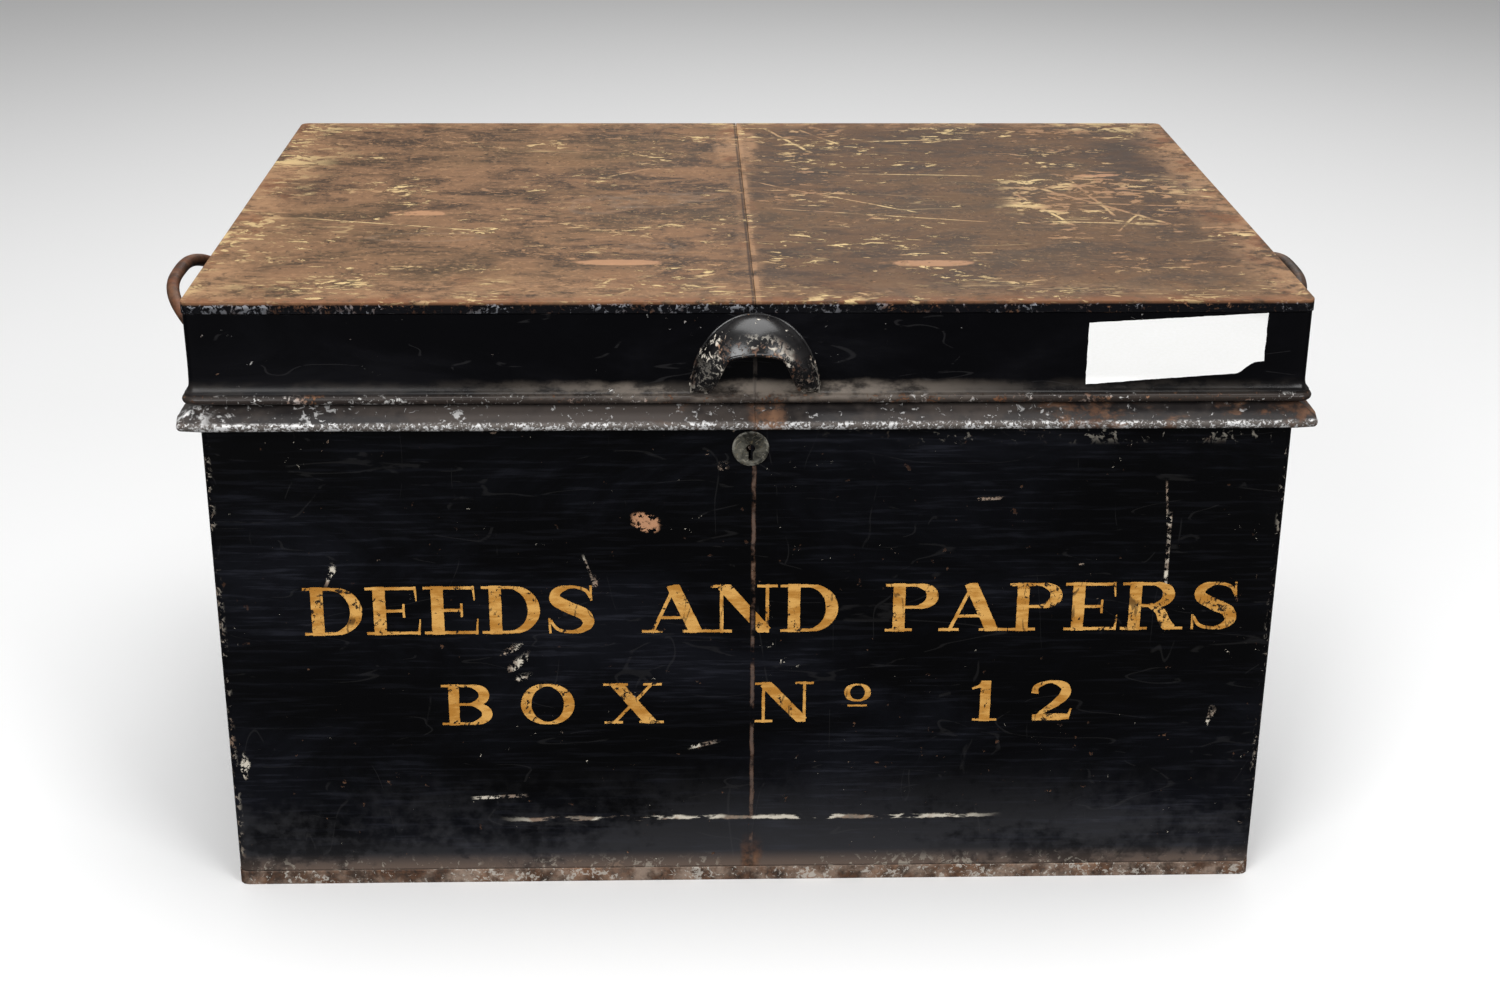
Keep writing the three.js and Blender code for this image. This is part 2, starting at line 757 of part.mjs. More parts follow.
// Assembly
const box = new THREE.Group();
const body = new THREE.Group();
const lid = new THREE.Group();
box.add(body, lid);

function add(group, name, geometry, material) {
  const mesh = new THREE.Mesh(geometry, material);
  mesh.name = name;
  group.add(mesh);
  return mesh;
}

// The rivet's own Y is turned towards the inside of the box
function addRivet(group, name, x, y, z, turnX, turnZ, grip, flush = false) {
  const mesh = add(group, name, rivet(grip, flush), darkIron());
  mesh.position.set(x, y, z);
  mesh.rotation.set(turnX, 0, turnZ);
}

const sides = [
  { side: -1, name: 'left' },
  { side: 1, name: 'right' },
];
const rows = [
  { step: -1, name: 'a' },
  { step: 1, name: 'b' },
];

for (const { side, name } of sides) {
  add(body, `body_shell_${name}`, bodyShell(side), japan());
  add(body, `moulding_front_${name}`, frontMoulding(side), dustyJapan());
  add(body, `moulding_${name}_end`, endMoulding(side), dustyJapan());
  add(body, `hinge_body_leaf_${name}`, bodyLeaf(side), darkIron());
  add(body, `hinge_pin_${name}`, hingePin(side), darkIron());
  add(lid, `lid_top_${name}`, lidTopHalf(side), agedTop());
  add(lid, `lid_rim_${name}`, lidRim(side), japan());
  add(lid, `hinge_lid_leaf_${name}`, lidLeaf(side), darkIron());
}

add(body, 'body_front_seam', bodySeam(true), darkIron());
add(body, 'body_back_seam', bodySeam(false), darkIron());
add(body, 'base_pan', basePan(), rustyIron());
add(body, 'mouth_wire', mouthWire(), darkIron());
add(body, 'moulding_back', backMoulding(), dustyJapan());
add(body, 'escutcheon', escutcheon(), dullBrass());
add(body, 'lock_cover', lockCover(), dullBrass());
add(body, 'lock_case', lockCase(), darkIron());
add(body, 'lock_bolt', lockBolt(), dullBrass());
add(body, 'bolt_spring', boltSpring(), darkIron());
add(body, 'key_pin', keyPin(), darkIron());

add(lid, 'lid_front_seam', lidWallSeam(true), darkIron());
add(lid, 'lid_back_seam', lidWallSeam(false), darkIron());
add(lid, 'lid_top_seam', lidTopSeam(), darkIron());
add(lid, 'lid_edge_wire', lidEdgeWire(), rustyIron());
add(lid, 'finger_hood', fingerHood(), japan());
add(lid, 'lock_staple', lockStaple(), darkIron());
add(lid, 'paper_label', paperLabel(), paper());

// Handles stand raised, leaning out from the ends
for (const { side, name } of sides) {
  const pivot = new THREE.Group();
  pivot.position.set(side * handleAxis, handleY, handleZ);
  pivot.rotation.y = side * THREE.MathUtils.degToRad(handleTilt);
  box.add(pivot);
  add(pivot, `handle_bail_${name}`, handleBail(side), side < 0 ? rustyIron() : darkIron());
  bracketPlaces(side).forEach((place, i) => {
    const end = i === 0 ? 'front' : 'rear';
    add(body, `handle_bracket_${name}_${end}`, handleBracket(place), darkIron());
    for (const row of rows) {
      const label = `bracket_rivet_${name}_${end}_${row.name}`;
      const x = side * (bodyHalfX + touchGap + bracketSheet);
      const z = handleZ + row.step * bracketRivetStep;
      const turn = side * Math.PI / 2;
      addRivet(body, label, x, place.y, z, 0, turn, bracketSheet + touchGap + sheet);
    }
  });
}

for (const { side, name } of sides) {
  for (const row of rows) {
    const x = side * hingeX + row.step * hingeWidth * 0.3;
    const bodyFace = bodyHalfY + touchGap + hingeSheet;
    const lidFace = lidHalfY + touchGap + hingeSheet;
    const grip = hingeSheet + touchGap + sheet;
    addRivet(body, `body_leaf_rivet_${name}_${row.name}`, x, bodyFace, bodyLeafRivetZ, Math.PI, 0, grip);
    addRivet(lid, `lid_leaf_rivet_${name}_${row.name}`, x, lidFace, lidLeafRivetZ, Math.PI, 0, grip);
  }
  const lockGrip = caseBack - coverFace;
  addRivet(body, `lock_rivet_${name}`, side * lockRivetX, coverFace, lockRivetZ, 0, 0, lockGrip, true);
  const stapleGrip = sheet + touchGap * 2 + flatSheet + lockPlate;
  addRivet(lid, `staple_rivet_${name}`, side * stapleRivetX, -lidHalfY, stapleRivetZ, 0, 0, stapleGrip);
}

export default box;
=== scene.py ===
import math
import bmesh
import bpy
from mathutils import Matrix, Vector, noise


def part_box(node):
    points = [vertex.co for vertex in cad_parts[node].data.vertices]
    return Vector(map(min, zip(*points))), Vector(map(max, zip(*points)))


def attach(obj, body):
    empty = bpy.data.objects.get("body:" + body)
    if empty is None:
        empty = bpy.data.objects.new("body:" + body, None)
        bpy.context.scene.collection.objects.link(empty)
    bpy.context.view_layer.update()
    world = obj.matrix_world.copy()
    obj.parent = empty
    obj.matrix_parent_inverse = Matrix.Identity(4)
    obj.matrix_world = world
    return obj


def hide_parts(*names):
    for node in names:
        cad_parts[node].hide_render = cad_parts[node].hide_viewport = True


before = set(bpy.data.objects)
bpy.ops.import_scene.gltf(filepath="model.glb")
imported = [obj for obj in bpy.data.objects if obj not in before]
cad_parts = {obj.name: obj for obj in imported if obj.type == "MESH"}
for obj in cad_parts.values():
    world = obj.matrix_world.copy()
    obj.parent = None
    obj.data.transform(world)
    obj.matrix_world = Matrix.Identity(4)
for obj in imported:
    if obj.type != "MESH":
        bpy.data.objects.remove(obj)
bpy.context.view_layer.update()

scene = bpy.context.scene
mm = 0.001


def boxOf(*names):
    lows, highs = zip(*(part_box(name) for name in names))
    low = Vector(min(v[i] for v in lows) for i in range(3))
    high = Vector(max(v[i] for v in highs) for i in range(3))
    return low, high


def tone(red, green, blue):
    # screen colour 0-255 to the linear colour the shaders take
    def linear(value):
        value /= 255
        return value / 12.92 if value <= 0.04045 else ((value + 0.055) / 1.055) ** 2.4
    return (linear(red), linear(green), linear(blue), 1.0)


# camera, floor and lights

view = {
    "place": (-0.0389, -1.3673, 0.7162),
    "down": 22.2,          # degrees below the horizon
    "right": 1.92,         # turned to the right
    "roll": 0.43,
    "lens": 53.9,
    "film": 36,
    "farthest": 50,        # how far the camera sees, metres
}


def makeCamera():
    down, turn, roll = (math.radians(view[key]) for key in ("down", "right", "roll"))
    ahead = Vector((math.sin(turn) * math.cos(down), math.cos(turn) * math.cos(down), -math.sin(down)))
    level = Vector((math.cos(turn), -math.sin(turn), 0))
    upright = level.cross(ahead)
    across = level * math.cos(roll) + upright * math.sin(roll)
    up = upright * math.cos(roll) - level * math.sin(roll)
    turned = Matrix((across, up, -ahead)).transposed().to_4x4()
    data = bpy.data.cameras.new("camera")
    data.lens = view["lens"]
    data.sensor_width = view["film"]
    data.clip_end = view["farthest"]
    camera = bpy.data.objects.new("camera", data)
    camera.matrix_world = Matrix.Translation(view["place"]) @ turned
    scene.collection.objects.link(camera)
    scene.camera = camera


studio = {
    "backdrop": 1.0,       # what the camera sees behind the box
    "fill": 0.2,           # what lights the box from all round
    "floorTone": (0.88, 0.88, 0.88, 1),
    "floorBounce": (0.02, 0.02, 0.022, 1),   # what the floor throws back onto the box
    "floorRough": 0.7,
    "floorSize": 9.0,
    "softboxes": [
        # name, place, aim, size, watts
        ("overhead", (0.1, 0.1, 2.6), (0, 0, 0.3), 2.2, 58),
        ("front left", (-1.3, -2.3, 1.7), (0, 0, 0.2), 1.4, 52),
        ("front right", (1.6, -2.1, 1.5), (0, 0, 0.2), 1.2, 34),
        ("back", (0.4, 2.3, 1.7), (0, 0, 0.3), 1.2, 6),
    ],
}


def makeStudio():
    world = bpy.data.worlds.new("studio")
    world.use_nodes = True
    tree = world.node_tree
    background = tree.nodes["Background"]
    background.inputs["Color"].default_value = (1, 1, 1, 1)
    seen = tree.nodes.new("ShaderNodeMapRange")
    seen.inputs["To Min"].default_value = studio["fill"]
    seen.inputs["To Max"].default_value = studio["backdrop"]
    tree.links.new(tree.nodes.new("ShaderNodeLightPath").outputs["Is Camera Ray"], seen.inputs["Value"])
    tree.links.new(seen.outputs["Result"], background.inputs["Strength"])
    scene.world = world
    mesh = bpy.data.meshes.new("floor")
    half = studio["floorSize"] / 2
    corners = [(-half, -half, 0), (half, -half, 0), (half, half, 0), (-half, half, 0)]
    mesh.from_pydata(corners, [], [(0, 1, 2, 3)])
    floor = bpy.data.objects.new("floor", mesh)
    scene.collection.objects.link(floor)
    paint = bpy.data.materials.new("pale floor")
    paint.use_nodes = True
    shader = paint.node_tree.nodes["Principled BSDF"]
    mix = paint.node_tree.nodes.new("ShaderNodeMix")
    mix.data_type = "RGBA"
    mix.inputs["A"].default_value = studio["floorBounce"]
    mix.inputs["B"].default_value = studio["floorTone"]
    path = paint.node_tree.nodes.new("ShaderNodeLightPath")
    paint.node_tree.links.new(path.outputs["Is Camera Ray"], mix.inputs["Factor"])
    paint.node_tree.links.new(mix.outputs["Result"], shader.inputs["Base Color"])
    shader.inputs["Roughness"].default_value = studio["floorRough"]
    mesh.materials.append(paint)
    for name, place, aim, size, watts in studio["softboxes"]:
        data = bpy.data.lights.new(name, "AREA")
        data.size = size
        data.energy = watts
        lamp = bpy.data.objects.new(name, data)
        lamp.location = place
        lamp.rotation_euler = (Vector(aim) - Vector(place)).to_track_quat("-Z", "Y").to_euler()
        scene.collection.objects.link(lamp)


makeCamera()
makeStudio()
scene.view_settings.view_transform = "Standard"
print("camera and studio ready")

# node helpers


def place(tree, kind, values=None, **settings):
    node = tree.nodes.new("ShaderNode" + kind)
    for key, value in settings.items():
        setattr(node, key, value)
    for key, value in (values or {}).items():
        if isinstance(value, bpy.types.NodeSocket):
            tree.links.new(value, node.inputs[key])
        else:
            node.inputs[key].default_value = value
    return node


def combine(tree, operation, first, second=0.0):
    return place(tree, "Math", {0: first, 1: second}, operation=operation).outputs[0]


def plus(tree, first, second):
    return combine(tree, "ADD", first, second)


def minus(tree, first, second):
    return combine(tree, "SUBTRACT", first, second)


def size(tree, value):
    return combine(tree, "ABSOLUTE", value)


def ramp(tree, value, low, high, start=0.0, end=1.0):
    values = {"Value": value, "From Min": low, "From Max": high, "To Min": start, "To Max": end}
    return place(tree, "MapRange", values, interpolation_type="SMOOTHSTEP").outputs["Result"]


def blendColour(tree, amount, first, second):
    node = place(tree, "Mix", {0: amount, 6: first, 7: second}, data_type="RGBA")
    return node.outputs[2]


def mixValue(tree, amount, first, second):
    return place(tree, "Mix", {0: amount, 2: first, 3: second}, data_type="FLOAT").outputs[0]


def noiseOf(tree, vector, scale, detail=4.0, rough=0.55, warp=0.0):
    values = {"Vector": vector, "Scale": scale, "Detail": detail, "Roughness": rough, "Distortion": warp}
    return place(tree, "TexNoise", values).outputs["Fac"]


def stretched(tree, vector, x, y, z, turn=0.0):
    values = {"Vector": vector, "Scale": (x, y, z), "Rotation": (0, turn, 0)}
    return place(tree, "Mapping", values).outputs["Vector"]


def largest(tree, *values):
    total = values[0]
    for value in values[1:]:
        total = combine(tree, "MAXIMUM", total, value)
    return total


def product(tree, *values):
    total = values[0]
    for value in values[1:]:
        total = combine(tree, "MULTIPLY", total, value)
    return total


def makeGroup(name, inputs, outputs, build):
    tree = bpy.data.node_groups.new(name, "ShaderNodeTree")
    for label, kind, value in inputs:
        socket = tree.interface.new_socket(label, in_out="INPUT", socket_type="NodeSocket" + kind)
        if value is not None:
            socket.default_value = value
    for label, kind in outputs:
        tree.interface.new_socket(label, in_out="OUTPUT", socket_type="NodeSocket" + kind)
    given = tree.nodes.new("NodeGroupInput").outputs
    made = tree.nodes.new("NodeGroupOutput").inputs
    for label, socket in build(tree, given).items():
        tree.links.new(socket, made[label])
    return tree


def placeGroup(tree, group, values):
    node = tree.nodes.new("ShaderNodeGroup")
    node.node_tree = group
    for key, value in values.items():
        if isinstance(value, bpy.types.NodeSocket):
            tree.links.new(value, node.inputs[key])
        else:
            node.inputs[key].default_value = value
    return node


# flakes of paint knocked off, in clumps
def buildChips(tree, given):
    fine = noiseOf(tree, given["Vector"], given["Scale"], 7.0, 0.68, 0.6)
    coarse = product(tree, given["Scale"], 0.13)
    clump = ramp(tree, noiseOf(tree, given["Vector"], coarse, 3.0), 0.42, 0.66)
    level = minus(tree, given["Level"], product(tree, clump, 0.09))
    edge = plus(tree, level, 0.025)
    return {"Mask": ramp(tree, fine, level, edge)}


# a ragged band about one position
def buildBand(tree, given):
    wander = minus(tree, noiseOf(tree, given["Vector"], given["Scale"], 5.0, 0.6), 0.5)
    moved = plus(tree, given["Position"], product(tree, wander, given["Wander"]))
    off = size(tree, minus(tree, moved, given["Middle"]))
    inner = product(tree, given["Width"], 0.35)
    return {"Mask": minus(tree, 1.0, ramp(tree, off, inner, given["Width"]))}


# thin broken scratches that follow the long way of the vector
def buildScratches(tree, given):
    lines = noiseOf(tree, given["Vector"], given["Scale"], 2.0, 0.4, 0.4)
    away = size(tree, minus(tree, lines, 0.5))
    thin = minus(tree, 1.0, ramp(tree, away, product(tree, given["Width"], 0.3), given["Width"]))
    broken = noiseOf(tree, given["Vector"], product(tree, given["Scale"], 3.1), 4.0, 0.6)
    kept = ramp(tree, broken, given["Level"], plus(tree, given["Level"], 0.06))
    return {"Mask": product(tree, thin, kept)}


# iron rust, dark to ochre
def buildRust(tree, given):
    grain = noiseOf(tree, given["Vector"], given["Scale"], 8.0, 0.7, 0.5)
    patch = noiseOf(tree, given["Vector"], product(tree, given["Scale"], 0.16), 3.0)
    dark = blendColour(tree, ramp(tree, grain, 0.36, 0.6), tone(46, 33, 26), tone(106, 72, 50))
    colour = blendColour(tree, ramp(tree, patch, 0.5, 0.66), dark, tone(148, 108, 80))
    return {"Color": colour, "Height": grain}


# dust that has settled and been wiped along X
def buildDust(tree, given):
    wiped = stretched(tree, given["Vector"], 0.35, 1, 1)
    cloud = noiseOf(tree, wiped, given["Scale"], 6.0, 0.62)
    speck = noiseOf(tree, given["Vector"], product(tree, given["Scale"], 9), 3.0)
    soft = plus(tree, cloud, product(tree, minus(tree, speck, 0.5), 0.35))
    return {"Mask": ramp(tree, soft, given["Level"], plus(tree, given["Level"], 0.22))}


# brush marks, specks and slow waves of a japanned sheet, and a haze mask that also places a painted sheen
# on the black
def buildJapan(tree, given):
    brushed = noiseOf(tree, stretched(tree, given["Vector"], 0.12, 0.12, 1), 260.0, 3.0)
    specks = noiseOf(tree, given["Vector"], 900.0, 2.0)
    waves = noiseOf(tree, given["Vector"], 14.0, 2.0)
    fine = plus(tree, product(tree, brushed, 0.5), product(tree, specks, 0.5))
    sheenHaze = noiseOf(tree, stretched(tree, given["Vector"], 0.6, 0.6, 1.4), 9.0, 6.0, 0.66, 0.8)
    height = plus(tree, fine, product(tree, waves, 2.0))
    return {"Height": height, "Haze": ramp(tree, sheenHaze, 0.42, 0.72)}


vectorIn = ("Vector", "Vector", None)
chips = makeGroup("paint chips", [vectorIn, ("Scale", "Float", 200.0), ("Level", "Float", 0.62)],
                  [("Mask", "Float")], buildChips)
band = makeGroup("ragged band", [vectorIn, ("Scale", "Float", 60.0), ("Position", "Float", 0.0),
                                 ("Middle", "Float", 0.0), ("Width", "Float", 0.002),
                                 ("Wander", "Float", 0.003)],
                 [("Mask", "Float")], buildBand)
scratches = makeGroup("scratches", [vectorIn, ("Scale", "Float", 30.0), ("Width", "Float", 0.008),
                                    ("Level", "Float", 0.5)], [("Mask", "Float")], buildScratches)
rust = makeGroup("rust", [vectorIn, ("Scale", "Float", 300.0)], [("Color", "Color"), ("Height", "Float")],
                 buildRust)
dust = makeGroup("settled dust", [vectorIn, ("Scale", "Float", 12.0), ("Level", "Float", 0.45)],
                 [("Mask", "Float")], buildDust)
japan = makeGroup("japanned sheet", [vectorIn], [("Height", "Float"), ("Haze", "Float")], buildJapan)


def flaked(tree, where, scale, level):
    return placeGroup(tree, chips, {"Vector": where, "Scale": scale, "Level": level}).outputs["Mask"]


def raggedLine(tree, where, scale, position, middle, width, wander):
    values = {"Vector": where, "Scale": scale, "Position": position, "Middle": middle, "Width": width,
              "Wander": wander}
    return placeGroup(tree, band, values).outputs["Mask"]


def scratched(tree, where, scale, width, level):
    values = {"Vector": where, "Scale": scale, "Width": width, "Level": level}
    return placeGroup(tree, scratches, values).outputs["Mask"]


def rustOn(tree, where, scale):
    return placeGroup(tree, rust, {"Vector": where, "Scale": scale}).outputs


def dusted(tree, where, scale, level):
    return placeGroup(tree, dust, {"Vector": where, "Scale": scale, "Level": level}).outputs["Mask"]


def japanOn(tree, where):
    return placeGroup(tree, japan, {"Vector": where}).outputs


print("surface effects ready")

# paints and metals


def newPaint(name):
    paint = bpy.data.materials.new(name)
    paint.use_nodes = True
    tree = paint.node_tree
    shader = tree.nodes["Principled BSDF"]
    return paint, tree, shader, place(tree, "TexCoord").outputs["Object"]


def axesOf(tree, vector):
    return tuple(place(tree, "SeparateXYZ", {"Vector": vector}).outputs)


def addBump(tree, shader, height, distance, strength=1.0, below=None):
    values = {"Height": height, "Distance": distance, "Strength": strength}
    if below is not None:
        values["Normal"] = below
    normal = place(tree, "Bump", values).outputs["Normal"]
    tree.links.new(normal, shader.inputs["Normal"])
    return normal


def feed(tree, shader, colour, rough, metal=None):
    tree.links.new(colour, shader.inputs["Base Color"])
    tree.links.new(rough, shader.inputs["Roughness"])
    if metal is not None:
        tree.links.new(metal, shader.inputs["Metallic"])


wallLow, wallHigh = boxOf("body_shell_left", "body_shell_right")
rimLow, rimHigh = boxOf("lid_rim_left", "lid_rim_right")
topLow, topHigh = boxOf("lid_top_left", "lid_top_right")
mouldLow, mouldHigh = boxOf("moulding_front_left", "moulding_left_end", "moulding_right_end",
                            "moulding_back")
panLow, panHigh = boxOf("base_pan")
seamX = (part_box("body_front_seam")[0].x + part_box("body_front_seam")[1].x) / 2
discLow, discHigh = boxOf("escutcheon")

bodyPaint = {
    "sheenStreak": tone(70, 72, 84),
    "scuff": tone(122, 120, 120),
    "seam": tone(112, 98, 90),
    "black": tone(4, 4, 5),
    "sheenHaze": tone(18, 20, 28),
    "dust": tone(84, 84, 88),
    "footDust": tone(128, 108, 94),
    "cream": tone(214, 206, 190),
    "primer": tone(190, 142, 108),
    "gloss": 0.2,
    "hazeRough": 0.42,
    "dustTop": 0.085,        # height of the dusty band at the foot
    "chipLevel": 0.738,
    # marks on the front: x, z, half width, half height, tilt in degrees
    "marks": [
        (-0.1315, 0.1460, 0.0085, 0.0022, 42),
        (-0.1350, 0.1545, 0.0070, 0.0016, 30),
        (-0.1290, 0.1360, 0.0050, 0.0016, 10),
        (-0.0870, 0.1960, 0.0018, 0.0028, 0),
        (-0.2350, 0.2030, 0.0020, 0.0050, -20),
        (-0.2920, 0.0800, 0.0022, 0.0085, 0),
        (0.2690, 0.1080, 0.0018, 0.0065, -15),
        (-0.0140, 0.2655, 0.0032, 0.0018, 0),
    ],
    # straight scratches on the front: from x, z to x, z, half width
    "scores": [(0.2325, 0.256, 0.2352, 0.226, 0.0005), (0.2362, 0.238, 0.2366, 0.182, 0.0009),
               (-0.094, 0.2125, -0.088, 0.1945, 0.0006), (-0.232, 0.207, -0.239, 0.192, 0.0008),
               (0.124, 0.2442, 0.143, 0.2450, 0.0008), (-0.036, 0.0885, -0.016, 0.0935, 0.0010),
               (-0.163, 0.0568, -0.128, 0.0584, 0.0009)],
    "peach": (-0.0586, 0.2311, 0.0085, 0.0042, -20),
    "longScratch": (0.0425, -0.147, 0.152, 0.0017),   # height, from x, to x, half width
}


def markMask(tree, x, z, mark):
    centreX, centreZ, halfX, halfZ, tilt = mark
    turn = math.radians(tilt)
    offX = minus(tree, x, centreX)
    offZ = minus(tree, z, centreZ)
    along = plus(tree, product(tree, offX, math.cos(turn) / halfX),
                  product(tree, offZ, math.sin(turn) / halfX))
    across = minus(tree, product(tree, offZ, math.cos(turn) / halfZ),
                   product(tree, offX, math.sin(turn) / halfZ))
    far = plus(tree, product(tree, along, along), product(tree, across, across))
    return minus(tree, 1.0, ramp(tree, far, 0.5, 1.2))


def scoreMask(tree, x, y, line):
    # one straight scratch between two points
    fromX, fromY, toX, toY, half = line
    long = math.dist((fromX, fromY), (toX, toY))
    alongX, alongY = (toX - fromX) / long, (toY - fromY) / long
    offX, offY = minus(tree, x, fromX), minus(tree, y, fromY)
    along = plus(tree, product(tree, offX, alongX), product(tree, offY, alongY))
    across = minus(tree, product(tree, offY, alongX), product(tree, offX, alongY))
    thin = ramp(tree, size(tree, across), half * 1.5, half * 0.7)
    ends = product(tree, ramp(tree, along, 0, 0.006), ramp(tree, along, long, long - 0.006))
    return product(tree, thin, ends)


def onFront(tree, y, face):
    return ramp(tree, y, face + 0.006, face + 0.002)


def makeBodyPaint():
    paint, tree, shader, where = newPaint("black japan on the body")
    x, y, z = axesOf(tree, where)
    sheet = japanOn(tree, where)
    # a faint bluish painted sheen over the black, where the haze mask lies
    colour = blendColour(tree, product(tree, sheet["Haze"], 0.55), bodyPaint["black"], bodyPaint["sheenHaze"])
    # a paler grey band toward the foot of the box, palest lowest down
    settled = dusted(tree, where, 16.0, 0.36)
    low = ramp(tree, z, bodyPaint["dustTop"], 0.006)
    lowest = ramp(tree, z, 0.040, 0.008)
    paleBand = largest(tree, product(tree, settled, low, 0.36),
                    product(tree, lowest, ramp(tree, settled, 0, 0.6, 0.18, 0.42)))
    colour = blendColour(tree, paleBand, colour, bodyPaint["dust"])
    # fine bluish streaks along the brush lines: more painted sheen
    sheenStreaks = ramp(tree, noiseOf(tree, stretched(tree, where, 0.06, 0.06, 1), 420.0, 4.0, 0.6), 0.5, 0.68,
                   0.0, 0.16)
    colour = blendColour(tree, product(tree, sheenStreaks, ramp(tree, sheet["Haze"], 0, 1, 0.3, 1)), colour,
                         bodyPaint["sheenStreak"])
    drift = product(tree, ramp(tree, z, 0.021, 0.0095), ramp(tree, settled, 0, 0.7, 0.22, 0.58))
    colour = blendColour(tree, drift, colour, bodyPaint["footDust"])
    # grey scuffs and fine scratches
    rubbed = scratched(tree, stretched(tree, where, 0.25, 0.25, 1, 0.18), 34.0, 0.006, 0.5)
    crossed = scratched(tree, stretched(tree, where, 1, 1, 0.3, -0.5), 22.0, 0.004, 0.54)
    colour = blendColour(tree, product(tree, largest(tree, rubbed, crossed), 0.04), colour,
                         bodyPaint["scuff"])
    # chips: a few everywhere, more near the upright edges, the foot and under the moulding
    few = flaked(tree, where, 190.0, bodyPaint["chipLevel"])
    many = flaked(tree, where, 230.0, 0.61)
    across = size(tree, x)
    nearEdge = ramp(tree, across, wallHigh.x - 0.0055, wallHigh.x - 0.0005)
    nearEdge = product(tree, nearEdge, ramp(tree, size(tree, y), wallHigh.y - 0.0055, wallHigh.y - 0.0005))
    underTop = product(tree, ramp(tree, z, 0.276, 0.289), ramp(tree, z, 0.294, 0.290),
                       ramp(tree, x, 0.02, 0.16), onFront(tree, y, wallLow.y))
    nearFoot = ramp(tree, z, 0.020, 0.009)
    worn = largest(tree, nearEdge, product(tree, underTop, 0.8), product(tree, nearFoot, 0.35))
    knocked = largest(tree, few, product(tree, many, worn))
    front = onFront(tree, y, wallLow.y)
    broken = ramp(tree, noiseOf(tree, where, 300.0, 5.0, 0.7), 0.46, 0.53)
    ragged = noiseOf(tree, where, 150.0, 4.0, 0.65)
    tornX = plus(tree, x, product(tree, minus(tree, ragged, 0.5), 0.010))
    tornZ = plus(tree, z, product(tree, minus(tree, broken, 0.5), 0.003))
    for mark in bodyPaint["marks"]:
        knocked = largest(tree, knocked, product(tree, markMask(tree, tornX, tornZ, mark), broken, front))
    for line in bodyPaint["scores"]:
        knocked = largest(tree, knocked, product(tree, scoreMask(tree, x, z, line), broken, front))
    height, fromX, toX, half = bodyPaint["longScratch"]
    line = raggedLine(tree, where, 120.0, z, height, half, 0.004)
    reach = product(tree, ramp(tree, x, fromX, fromX + 0.03), ramp(tree, x, toX, toX - 0.03))
    dashed = ramp(tree, noiseOf(tree, stretched(tree, where, 1, 1, 4), 42.0, 4.0, 0.62), 0.46, 0.53)
    knocked = largest(tree, knocked, product(tree, line, reach, dashed, front))
    # what shows in a chip: pale undercoat, bare or rusted iron
    rusted = rustOn(tree, where, 240.0)
    which = ramp(tree, noiseOf(tree, where, 33.0, 3.0), 0.5, 0.56)
    brown = largest(tree, which, nearEdge)
    under = blendColour(tree, product(tree, brown, 0.75), bodyPaint["cream"], rusted["Color"])
    colour = blendColour(tree, knocked, colour, under)
    peach = product(tree, markMask(tree, tornX, tornZ, bodyPaint["peach"]), front)
    peach = product(tree, peach, ramp(tree, noiseOf(tree, where, 260.0, 4.0), 0.36, 0.44))
    colour = blendColour(tree, peach, colour, bodyPaint["primer"])
    # rust along the front and back seams and in spots at the foot
    seam = raggedLine(tree, where, 90.0, x, seamX, 0.0015, 0.0022)
    seam = product(tree, seam, ramp(tree, noiseOf(tree, where, 60.0, 5.0, 0.7), 0.38, 0.56))
    spot = raggedLine(tree, where, 70.0, x, seamX, 0.007, 0.010)
    spot = product(tree, spot, ramp(tree, z, 0.034, 0.010))
    freckles = ramp(tree, noiseOf(tree, where, 150.0, 4.0, 0.6), 0.70, 0.73)
    iron = largest(tree, seam, spot, product(tree, freckles, ramp(tree, z, 0.2, 0.02, 0.35, 1.0)))
    colour = blendColour(tree, product(tree, iron, 0.75), colour,
                         blendColour(tree, product(tree, seam, 0.6), rusted["Color"], bodyPaint["seam"]))
    rough = mixValue(tree, sheet["Haze"], bodyPaint["gloss"], bodyPaint["hazeRough"])
    rough = mixValue(tree, largest(tree, knocked, iron, paleBand), rough, 0.72)
    feed(tree, shader, colour, rough)
    shader.inputs["Specular IOR Level"].default_value = 0.2
    relief = minus(tree, product(tree, sheet["Height"], 0.10), largest(tree, knocked, iron))
    addBump(tree, shader, relief, 0.00022)
    return paint


lidPaint = {
    "scuff": tone(130, 128, 130),
    "bead": tone(78, 68, 62),
    "seam": tone(96, 88, 82),
    "black": tone(4, 4, 6),
    "sheenHaze": tone(17, 17, 22),
    "dust": tone(120, 110, 100),
    "bare": tone(205, 203, 200),
    "gloss": 0.16,
}


